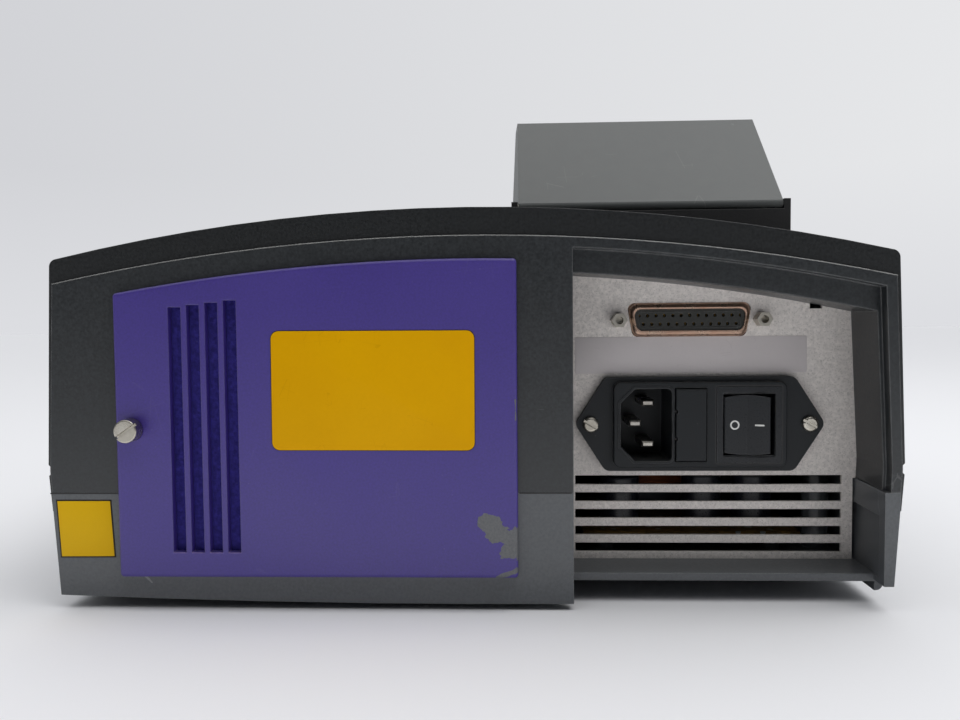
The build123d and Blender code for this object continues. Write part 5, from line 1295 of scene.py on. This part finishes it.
@dataclass
class PowerInlet(Assembly):
    """Mains socket, fuse drawer and switch in one moulding."""

    z: float = 55.5
    bezel_y: float = 168.1
    mains_left: float = -49.4
    mains_size: Point = (16.7, 23.8)
    mains_corner: float = 4.7
    mains_round: float = 1.6
    cut_growth: float = 0.42
    lip_growth: Point = (0.9, 0.06)
    lip_thick: float = 0.28
    lip_edge: float = 0.12
    catch_x: float = -67.0
    catch_rise: float = 4.5
    catch_size: Point = (1.9, 0.6)
    switch_x: float = -91.15
    switch_size: Point = (21.1, 25.2)
    frame_bore: Point = (17.0, 21.1)
    frame_thick: float = 0.34
    frame_edge: float = 0.14
    gap_growth: Point = (0.9, 0.1)
    gap_thick: float = 0.03
    rocker_y: float = 162.6
    rocker_tilt: float = 8.0
    face_lean: float = 11.2
    mark_reach: float = 3.9
    mark_rise: float = 6.775
    mark_thick: float = 0.05
    ring_radius: float = 1.55
    ring_line: float = 0.52
    bar_size: Point = (3.0, 0.55)
    coats = {"inlet_body": INLET_BLACK, "fuse_drawer": INLET_BLACK, "power_rocker": ROCKER_BLACK,
             "inlet_blades": NICKEL, "inlet_screws": ZINC, "fuse": FUSE_TUBE}

    def build(self, box: Paintbox) -> None:
        """Adds the moulded lips, painted shadows at the drawer's catch tabs, a painted shadow in
        the gap round the switch frame, and the switch's marks.
        """
        place = facing_rear(self.mains_left - self.mains_size[0] / 2, self.bezel_y, self.z)
        outer, inner = (self._socket(growth) for growth in self.lip_growth)
        Shape("mains_lip").border(outer, inner, place, self.lip_thick, self.lip_edge).make(
            box, INLET_BLACK, "inlet_plastic")
        place = facing_rear(self.switch_x, self.bezel_y, self.z)
        width, height = self.switch_size
        Shape("switch_frame").border(
            rounded(width, height, 0.6, steps=3), rounded(*self.frame_bore, 0.8, steps=3),
            place, self.frame_thick, self.frame_edge).make(box, ROCKER_BLACK, "inlet_plastic")
        # A thin black ring round the switch frame, painted shadow in the gap between frame and
        # bezel.
        outer, inner = (rounded(width + growth, height + growth, corner, steps=3)
                        for growth, corner in zip(self.gap_growth, (0.8, 0.6)))
        Shape("switch_gap_shadow").border(outer, inner, place, self.gap_thick, INK_EDGE).make(
            box, BLACK_INK, "inlet_plastic")
        # Two black marks, painted shadows at the drawer's catch tabs.
        catch_shadows = Shape("drawer_catch_shadows")
        for rise in (-self.catch_rise, self.catch_rise):
            catch_shadows.plate(rounded(*self.catch_size, 0.2, steps=2), facing_rear(
                self.catch_x, self.bezel_y, self.z + rise), self.mark_thick, INK_EDGE)
        catch_shadows.make(box, BLACK_INK, "inlet_plastic")
        Shape("switch_off_ring").border(
            circle(self.ring_radius, steps=32), circle(self.ring_radius - self.ring_line, steps=32),
            self._half(1), self.mark_thick, INK_EDGE).make(
            box, WHITE_INK, "rocker_plastic", "rocker")
        Shape("switch_on_bar").plate(
            rounded(*self.bar_size, 0.2, steps=3), self._half(-1), self.mark_thick, INK_EDGE).make(
            box, WHITE_INK, "rocker_plastic", "rocker")

    def _socket(self, grow: float) -> list[Point]:
        """Mains socket's outline, two corners cut and two rounded, grown by an amount."""
        w, h = (size / 2 + grow for size in self.mains_size)
        c, r = self.mains_corner + grow * self.cut_growth, self.mains_round + grow
        top = arc(r, 0.0, math.pi / 2, 5, (w - r, h - r))
        foot = arc(r, -math.pi / 2, math.pi / 2, 5, (w - r, r - h))
        return [*top, (-w + c, h), (-w, h - c), (-w, -h + c), (-w + c, -h), *foot]

    def _half(self, side: int) -> Matrix:
        """Place of a mark on one half of the rocker.

        Args:
            side: 1 for the half towards +X, -1 for the other.

        Returns:
            The place, on the half's sloping face.
        """
        centre = Matrix.Translation((self.switch_x, self.rocker_y, self.z))
        half = Matrix.Translation((side * self.mark_reach, self.mark_rise, 0.0))
        return (centre @ spun(-self.rocker_tilt) @ half @ spun(side * self.face_lean)
                @ facing_rear(0.0, 0.02, 0.0))


@dataclass
class SampleCompartment(Assembly):
    """The well, its hood and the cell holder."""

    x: float = -65.5
    beam_y: float = 92.0
    beam_z: float = 84.0
    floor_z: float = 69.0
    well_left: float = -117.1
    well_right: float = -13.9
    wall: float = 3.0
    screw_reach: Point = (17.4, 10.0)
    foot_top: float = 72.0
    screw_profile: Outline = ((1.4, 0.0), (2.3, 0.0), (2.3, 1.4), (2.05, 1.7), (1.3, 1.7),
                              (1.3, 0.8), (0.0, 0.8))
    ring_profile: Outline = ((4.0, 0.0), (6.4, 0.0), (6.4, 0.7), (6.0, 1.0), (4.4, 1.0),
                             (4.0, 0.7), (4.0, 0.0))
    mat_gap: float = 21.6
    mat_y: float = 91.5
    mat_depth: float = 62.0
    mat_thick: float = 0.35
    coats = {"sample_well": WELL_BLACK, "sample_lid": HOOD_GREY, "lid_pins": ZINC,
             "cell_holder": ANODISED}

    def build(self, box: Paintbox) -> None:
        """Adds the holder's screws, the beam windows' rings and a floor mat."""
        turned_set("holder_screws", self.screw_profile, four_corners(
            (self.x, self.beam_y, self.foot_top), self.screw_reach)).make(
            box, SCREW_STEEL, "zinc_steel")
        rings = Shape("beam_window_rings")
        for x, turn in ((self.well_left + self.wall, 0.0), (self.well_right - self.wall, 180.0)):
            rings.turned(self.ring_profile, facing_side(x, self.beam_y, self.beam_z)
                         @ spun(turn, "Y"), steps=36)
        rings.make(box, ANODISED, "black_anodised")
        mat, edge = Shape("well_floor_mat"), self.wall + 1.0
        for low, high in ((self.well_left + edge, self.x - self.mat_gap),
                          (self.x + self.mat_gap, self.well_right - edge)):
            mat.plate(rounded(high - low, self.mat_depth, 2.0, steps=4),
                      facing_up((low + high) / 2, self.mat_y, self.floor_z), self.mat_thick, 0.1)
        mat.make(box, FOAM_BLACK, "well_plastic")


@dataclass
class OpticalBench(Assembly):
    """Lamps, filter wheel, grating, mirrors and slits on the bench."""

    bench_z: float = 66.0
    beam_y: float = 92.0
    lens_place: Spot = (-4.0, 92.0, 84.0)
    lens_profile: Outline = ((6.6, 0.0), (8.6, 0.0), (8.6, 0.8), (8.2, 1.1), (6.9, 1.1),
                             (6.6, 0.8), (6.6, 0.0))
    filter_x: float = 12.4
    wheel_z: float = 97.0
    filter_ring: float = 13.0
    filter_step: float = 60.0
    filter_profile: Outline = ((0.0, 0.0), (3.12, 0.0), (3.12, 1.1), (2.97, 1.2), (0.0, 1.2))
    uv_lamp: Point = (28.0, 141.0)
    shield_rise: float = 8.0
    shield_profile: Outline = ((0.0, 0.0), (7.0, 0.0), (7.4, 0.4), (7.4, 2.0), (3.2, 2.4),
                               (3.2, 20.0), (6.6, 20.4), (6.6, 24.0), (0.0, 24.6))
    mount_reach: Point = (19.0, 17.0)
    mount_rise: float = 4.0
    head_profile: Outline = ((1.4, 0.0), (2.7, 0.0), (2.7, 1.5), (2.3, 1.9), (1.4, 1.9),
                             (1.4, 0.9), (0.0, 0.9))
    bulb: Point = (-4.0, 148.0)
    coil_rise: float = 23.0
    coil_radius: float = 0.75
    coil_half: float = 2.4
    coil_turns: int = 8
    coil_wire: float = 0.14
    lead_reach: float = 1.6
    lead_rise: float = 12.5
    lead_bow: float = 0.4
    lead_wire: float = 0.22
    grating: Point = (72.0, 36.0)
    grating_rise: float = 16.0
    grating_turn: float = 30.0
    grating_face: float = 3.0
    ruled_size: Point = (17.0, 15.0)
    ruled_thick: float = 0.12
    filters: tuple[tuple[str, Colour], ...] = (
        ("filter_violet", (0.35, 0.2, 0.8)), ("filter_blue", (0.15, 0.4, 0.9)),
        ("filter_green", (0.2, 0.75, 0.35)), ("filter_amber", (0.95, 0.6, 0.1)),
        ("filter_red", (0.85, 0.1, 0.08)))
    coats = {"optical_bench": CASTING, "uv_lamp_mount": CASTING, "filter_wheel": ANODISED,
             "grating_table": ANODISED, "slits": ANODISED, "filter_motor": MOTOR_STEEL,
             "grating_motor": MOTOR_STEEL, "photodiode": MOTOR_STEEL, "uv_lamp": LAMP_GLASS,
             "visible_lamp": LAMP_GLASS, "beam_lens": LENS_GLASS, "mirrors": MIRROR,
             "grating": GRATING, "detector_board": SENSOR}

    def build(self, box: Paintbox) -> None:
        """Adds filters, lamp parts, the ruled face, rings and screw heads."""
        for index, (name, colour) in enumerate(self.filters):
            angle = math.radians(self.filter_step * (index + 1))
            place = facing_side(self.filter_x, self.beam_y + self.filter_ring * math.sin(angle),
                                self.wheel_z - self.filter_ring * math.cos(angle))
            Shape(name).turned(self.filter_profile, place, steps=28).make(
                box, ClearGlass(name + "_glass", colour, ior=1.5), body="wheel")
        Shape("lens_ring").turned(
            self.lens_profile, facing_side(*self.lens_place), steps=40).make(
            box, ANODISED, "black_anodised")
        Shape("uv_lamp_shield").turned(
            self.shield_profile, facing_up(*self.uv_lamp, self.bench_z + self.shield_rise),
            steps=28).make(box, MOTOR_STEEL, "motor_steel")
        self._filament(box)
        place = facing_up(*self.grating, self.bench_z + self.grating_rise)
        Shape("grating_ruling").plate(
            rounded(*self.ruled_size, 0.4, steps=2),
            place @ spun(self.grating_turn) @ facing_rear(0.0, self.grating_face, 0.0),
            self.ruled_thick, 0.04).make(box, GRATING, "mirror_coat", "turntable")
        turned_set("bench_screw_heads", self.head_profile, four_corners(
            (*self.uv_lamp, self.bench_z + self.mount_rise), self.mount_reach)).make(
            box, SCREW_STEEL, "zinc_steel")

    def _filament(self, box: Paintbox) -> None:
        """Coil and leads of the visible lamp."""
        filament, middle = Shape("visible_lamp_filament"), self.bench_z + self.coil_rise
        x, y = self.bulb
        steps = 12 * self.coil_turns
        coil = arc(self.coil_radius, 0.0, 2 * self.coil_turns * math.pi, steps, (y, middle))
        filament.tube([Vector((x + self.coil_half * (step / (steps / 2) - 1), coil_y, coil_z))
                       for step, (coil_y, coil_z) in enumerate(coil)], self.coil_wire, 6)
        for side in (-1, 1):
            top = Vector((x + side * self.coil_half, y + self.coil_radius, middle))
            foot = Vector((x + side * self.lead_reach, y, self.bench_z + self.lead_rise))
            bend = foot.lerp(top, 0.5) + Vector((side * self.lead_bow, 0, 0))
            filament.tube((foot, bend, top), self.lead_wire, 6)
        filament.make(box, ZINC, "zinc_steel")


@dataclass
class Electronics(Assembly):
    """Main board, supply board, transformer and fan."""

    board_top: float = 19.2
    board_front: float = -161.0
    supply_top: float = 17.2
    lead_pitch: float = 1.27
    chips: tuple[tuple[float, ...], ...] = (
        (-40.0, 70.0, 28.0, 28.0), (20.0, 95.0, 20.0, 20.0), (60.0, 110.0, 14.0, 10.0))
    chip_height: float = 3.0
    leg_radius: float = 0.17
    leg_free: float = 2.0
    headers: tuple[Spot, ...] = ((62.0, 40.0, 34.0), (-70.0, 130.0, 30.0), (0.0, 132.0, 40.0))
    header_height: float = 9.0
    pin_width: float = 0.64
    pin_rise: float = 2.4
    can_radius: float = 7.06
    can_height: float = 16.86
    can_stand: float = 0.2
    score_size: Point = (8.0, 0.5)
    main_cans: Outline = ((-80.0, -130.0), (-62.0, -130.0), (80.0, -60.0))
    supply_cans: Outline = ((-100.0, 138.0), (-82.0, 138.0), (-52.0, 142.0))
    hub_place: Spot = (73.0, 179.3, 59.5)
    hub_profile: Outline = ((8.8, 0.0), (8.8, 0.06), (8.6, 0.1), (0.0, 0.12))
    coats = {"main_board": BOARD, "supply_board": SUPPLY, "mains_transformer": CORE,
             "fan_frame": FAN_BLACK, "fan_rotor": FAN_BLACK}

    def build(self, box: Paintbox) -> None:
        """Adds chip legs, header pins, can sleeves and the fan's hub disc."""
        legs = Shape("chip_legs")
        for x, y, width, depth in self.chips:
            for side_x, side_y, length in ((1, 0, depth), (-1, 0, depth), (0, 1, width),
                                           (0, -1, width)):
                edge = (x + side_x * width / 2, self.board_front + y + side_y * depth / 2)
                self._row_of_legs(legs, edge, Vector((side_x, side_y, 0.0)), length)
        legs.make(box, ZINC, "zinc_steel")
        pins, pitch = Shape("header_pins"), 2 * self.lead_pitch
        outline = rounded(self.pin_width, self.pin_width, 0.1, steps=1)
        for x, y, width in self.headers:
            count = int(width // pitch) - 1
            for i in range(count):
                for row in (-self.lead_pitch, self.lead_pitch):
                    pins.plate(outline, facing_up(
                        x + (i - (count - 1) / 2) * pitch, self.board_front + y + row,
                        self.board_top + self.header_height), self.pin_rise, 0.2)
        pins.make(box, GOLD, "contact_brass")
        self._cans(box, "main_can_sleeves", self.main_cans, self.board_top)
        self._cans(box, "supply_can_sleeves", self.supply_cans, self.supply_top)
        Shape("fan_hub_disc").turned(self.hub_profile, facing_rear(*self.hub_place),
                                     steps=40).make(box, DARK_FILM, body="fan")

    def _row_of_legs(self, legs: Shape, edge: Point, out: Vector, length: float) -> None:
        """Adds the gull-wing legs along one side of a chip.

        Args:
            legs: Shape that they join.
            edge: Middle of the chip's side.
            out: Way out of the side.
            length: Length of the side.
        """
        count = int((length - self.leg_free) // self.lead_pitch)
        for i in range(count):
            along = (i - (count - 1) / 2) * self.lead_pitch
            start = Vector((edge[0] + out.y * along, edge[1] + out.x * along,
                            self.board_top + self.chip_height / 2))
            knee = start + out * 0.7
            foot = Vector((knee.x, knee.y, self.board_top + 0.15)) + out * 0.2
            legs.tube((start - out * 0.3, knee, foot, foot + out * 0.8), self.leg_radius, 4)

    def _cans(self, box: Paintbox, name: str, spots: Iterable[Point], level: float) -> None:
        """Shrunk sleeves and scored tops of a board's capacitors."""
        sleeves, tops = Shape(name), Shape(name.replace("sleeves", "tops"))
        radius, height = self.can_radius, self.can_height
        for x, y in spots:
            sleeves.turned(((radius, 0.0), (radius, height - 0.5), (radius - 0.5, height + 0.1),
                            (radius - 1.2, height + 0.12), (radius - 1.3, height)),
                           facing_up(x, y, level + self.can_stand), steps=36)
            cover = facing_up(x, y, level + height + self.can_stand)
            tops.turned(((radius - 1.25, 0.0), (radius - 1.5, 0.06), (0.0, 0.06)), cover, steps=36)
            for turn in (0.0, 90.0):
                tops.plate(rounded(*self.score_size, 0.2, steps=2),
                           cover @ facing_up(0, 0, 0.06) @ spun(turn), 0.05, 0.02)
        sleeves.make(box, CAN_SLEEVE, "circuit_board")
        tops.make(box, ZINC, "zinc_steel")


@dataclass
class OperatorDeck(Assembly):
    """Fascia, display and keys on the sloping deck."""

    face_level: float = -2.48
    fascia_level: float = 2.2
    cap_level: float = 4.21
    key_x: tuple[float, ...] = (60.0, 79.0, 98.0)
    key_s: tuple[float, ...] = (120.0, 101.0, 82.0, 63.0)
    key_names: tuple[tuple[str, ...], ...] = (
        ("7", "8", "9"), ("4", "5", "6"), ("1", "2", "3"), ("minus", "0", "point"))
    start_x: float = -52.0
    stop_x: float = -20.0
    action_s: float = 60.0
    arrow: Outline = ((3.2, 0.0), (-2.4, 3.1), (-2.4, -3.1))
    square: float = 5.0
    type_size: float = 7.5
    ink: float = 0.04
    frames: tuple[tuple[str, float, float, float, float], ...] = (
        ("keypad_line", 79.0, 91.5, 62.0, 78.0), ("action_line", -36.0, 60.0, 66.0, 21.0))
    frame_line: float = 0.8
    frame_corners: Point = (3.0, 2.6)
    stripe_s: float = 29.0
    stripe_size: Point = (212.0, 2.2)
    window_x: float = -42.0
    window_s: float = 104.0
    mask_outer: Spot = (137.2, 51.2, 6.6)
    mask_inner: Spot = (112.0, 31.0, 1.5)
    figure_height: float = 12.0
    figure_pitch: float = 0.78
    point_drop: float = 0.48
    point_radius: float = 0.9
    readings: tuple[tuple[str, float], ...] = (("546", -31.0), ("0.327", 26.0))
    coats = {"fascia": FASCIA_GREY, "display_window": PANE, "display_module": DISPLAY_FACE,
             "key_board": KEY_BOARD, **{"key_%d" % i: KEY_GREY for i in range(10)},
             "key_point": KEY_GREY, "key_minus": KEY_GREY, "key_start": START_GREEN,
             "key_stop": STOP_RED}

    def build(self, box: Paintbox) -> None:
        """Prints the keys and the fascia and fills the display."""
        self._legends(box)
        self._lines(box)
        self._display(box)

    def _legends(self, box: Paintbox) -> None:
        """Figures on the keys."""
        for slope, names in zip(self.key_s, self.key_names):
            for x, name in zip(self.key_x, names):
                sign = {"minus": "-", "point": "."}.get(name, name)
                legend("legend_" + name, sign, DECK.at(x, slope, self.cap_level), self.type_size,
                       self.ink, box.material(BLACK_INK), "key_%s_cap" % name)
        square = rounded(self.square, self.square, 0.4, steps=2)
        for name, x, outline, body in (
                ("start_arrow", self.start_x, self.arrow, "key_start_cap"),
                ("stop_square", self.stop_x, square, "key_stop_cap")):
            Shape(name).plate(outline, DECK.at(x, self.action_s, self.cap_level), self.ink).make(
                box, WHITE_INK, body=body)

    def _lines(self, box: Paintbox) -> None:
        """Printed frames round the key fields, a coloured stripe and the window's mask."""
        wide, narrow = self.frame_corners
        for name, x, s, width, height in self.frames:
            inner = rounded(width - self.frame_line, height - self.frame_line, narrow)
            Shape(name).border(rounded(width, height, wide), inner,
                               DECK.at(x, s, self.fascia_level), self.ink, INK_EDGE).make(
                box, PALE_INK, "fascia_plastic")
        Shape("deck_stripe").plate(
            rounded(*self.stripe_size, 1.0, steps=3),
            DECK.at(0.0, self.stripe_s, self.fascia_level), self.ink).make(
            box, VIOLET_INK, "violet_paint")
        Shape("window_mask").border(
            rounded(*self.mask_outer), rounded(*self.mask_inner),
            DECK.at(self.window_x, self.window_s, self.fascia_level + 0.01), self.ink,
            INK_EDGE).make(box, BLACK_INK, "window_pane")

    def _display(self, box: Paintbox) -> None:
        """Seven-segment figures behind the pane."""
        lit, ghosts = Shape("display_figures"), Shape("display_resting_segments")
        height, pitch = self.figure_height, self.figure_height * self.figure_pitch
        for figures, offset in self.readings:
            count = len(figures.replace(".", ""))
            start, seen = self.window_x + offset - pitch * (count - 1) / 2, -1
            for sign in figures:
                if sign == ".":
                    lit.plate(circle(self.point_radius, steps=12), DECK.at(
                        start + pitch * (seen + 0.5), self.window_s - height * self.point_drop,
                        self.face_level), 0.05)
                    continue
                seen += 1
                self._figure(lit, ghosts, sign, DECK.at(
                    start + pitch * seen, self.window_s, self.face_level), height)
        lit.make(box, LCD_INK, "display_face")
        ghosts.make(box, LCD_GHOST, "display_face")

    @staticmethod
    def _figure(lit: Shape, ghosts: Shape, sign: str, place: Matrix, height: float) -> None:
        """Adds one seven-segment figure.

        Args:
            lit: Shape of the dark segments.
            ghosts: Shape of the resting segments.
            sign: The figure.
            place: Its middle.
            height: Its height, in mm.
        """
        on = {"0": "abcdef", "2": "abged", "3": "abgcd", "4": "fgbc", "5": "afgcd",
              "6": "afgedc", "7": "abc"}[sign]
        half, line = height / 4, height * 0.15
        reach, tip = half - line * 0.12, half - line * 0.62
        bar = [(reach, 0), (tip, line / 2), (-tip, line / 2), (-reach, 0), (-tip, -line / 2),
               (tip, -line / 2)]
        slant = Matrix.Identity(4)
        slant[0][1] = 0.1
        for name, x, y, turn in (("a", 0, 2 * half, 0), ("g", 0, 0, 0), ("d", 0, -2 * half, 0),
                                 ("f", -half, half, 90), ("b", half, half, 90),
                                 ("e", -half, -half, 90), ("c", half, -half, 90)):
            (lit if name in on else ghosts).plate(
                bar, place @ slant @ facing_up(x, y, 0) @ spun(turn), 0.03)


@dataclass
class Studio:
    """Pale floor, soft light and the camera behind the instrument."""

    floor_reach: float = 6.0
    floor_colour: Colour = paint(236, 236, 238)
    wall_colour: Colour = paint(222, 224, 227)
    room_colour: Colour = paint(62, 64, 68)
    ceiling_colour: Colour = (1.6, 1.61, 1.63)
    backdrop_left: Colour = paint(210, 211, 215)
    backdrop_right: Colour = paint(231, 232, 234)
    horizon_left: Colour = paint(220, 221, 225)
    horizon_right: Colour = paint(221, 222, 226)
    camera_place: Spot = (-0.01467, 0.4479, 0.09106)
    yaw: float = 2.33
    pitch: float = 2.81
    roll: float = 0.0090
    lens: float = 31.875
    sensor: float = 36.0
    lights: tuple[tuple[str, Spot, Spot, float, float, float], ...] = (
        ("overhead_softbox", (-0.6, 0.45, 1.3), (-0.15, 0.4, 0.0), 1.0, 0.8, 5.6),
        ("floor_glow", (-0.03, 0.36, 0.002), (-0.03, 0.36, 1.0), 0.7, 0.3, 0.3))

    def build(self) -> None:
        """Lays the floor, hangs the lights and sets the camera."""
        self._floor()
        self._world()
        for light in self.lights:
            self._light(*light)
        self._camera()

    def _floor(self) -> None:
        """Plain pale floor."""
        reach = self.floor_reach
        mesh = bpy.data.meshes.new("floor")
        mesh.from_pydata([(-reach, -reach, 0), (reach, -reach, 0), (reach, reach, 0),
                          (-reach, reach, 0)], [], [(0, 1, 2, 3)])
        material = bpy.data.materials.new("pale_floor")
        material.use_nodes = True
        shader = material.node_tree.nodes["Principled BSDF"]
        shader.inputs["Base Color"].default_value = rgba(self.floor_colour)
        shader.inputs["Roughness"].default_value = 0.8
        shader.inputs["Specular IOR Level"].default_value = 0.1
        mesh.materials.append(material)
        floor = link("floor", mesh)

    def _world(self) -> None:
        """Pale wall in front, lit ceiling and a darker room behind the camera."""
        world = bpy.data.worlds.new("pale_room")
        world.use_nodes = True
        graph = Graph(world.node_tree)
        x, y, z = graph.add("ShaderNodeSeparateXYZ", {
            0: graph.add("ShaderNodeTexCoord").outputs["Generated"]}).outputs
        around = graph.mix(graph.remap(y, -0.15, 0.35), self.wall_colour, self.room_colour)
        around = graph.mix(graph.remap(z, 0.6, 0.97), around, self.ceiling_colour)
        side = graph.remap(x, 0.5, -0.5)
        pale = graph.mix(graph.remap(z, 0.0, 0.16),
                         graph.mix(side, self.horizon_left, self.horizon_right),
                         graph.mix(side, self.backdrop_left, self.backdrop_right))
        seen = graph.add("ShaderNodeLightPath").outputs["Is Camera Ray"]
        graph.feed(world.node_tree.nodes["Background"].inputs[0], graph.mix(seen, around, pale))
        bpy.context.scene.world = world
        bpy.context.scene.view_settings.view_transform = "Standard"

    @staticmethod
    def _light(name: str, place: Spot, target: Spot, width: float, height: float,
               power: float) -> None:
        """Hangs a soft box.

        Args:
            name: The light's name.
            place: Where it hangs.
            target: What it faces.
            width: Its width in metres.
            height: Its height in metres.
            power: Its power in watts.
        """
        data = bpy.data.lights.new(name, "AREA")
        data.shape, data.size, data.size_y, data.energy = "RECTANGLE", width, height, power
        light = link(name, data)
        light.location = place
        light.rotation_mode = "QUATERNION"
        light.rotation_quaternion = (Vector(target) - Vector(place)).to_track_quat("-Z", "Y")
        light.visible_camera = False

    def _camera(self) -> None:
        """Camera at the photograph's viewpoint."""
        yaw, pitch = math.radians(self.yaw), math.radians(self.pitch)
        ahead = Vector((math.sin(yaw) * math.cos(pitch), -math.cos(yaw) * math.cos(pitch),
                        -math.sin(pitch)))
        right = Vector((-math.cos(yaw), -math.sin(yaw), 0.0))
        down = ahead.cross(right)
        cos, sin = math.cos(self.roll), math.sin(self.roll)
        data = bpy.data.cameras.new("rear_view")
        data.lens, data.sensor_width = self.lens, self.sensor
        camera = link("rear_view", data)
        turn = Matrix((right * cos + down * sin, right * sin - down * cos, -ahead)).transposed()
        camera.matrix_world = Matrix.Translation(self.camera_place) @ turn.to_4x4()
        bpy.context.scene.camera = camera


def main() -> None:
    """Builds and dresses every sub-assembly, then the studio."""
    logging.basicConfig(level=logging.INFO, format="%(name)s: %(message)s")
    box = Paintbox()
    parts = (Case(), LampDoor(), ConnectorPanel(), InterfaceSocket(), PowerInlet(),
             SampleCompartment(), OpticalBench(), Electronics(), OperatorDeck())
    for part in parts:
        part.dress(box)
        part.build(box)
        LOG.info("finished %s", type(part).__name__)
    Studio().build()


if __name__ == "__main__":
    main()
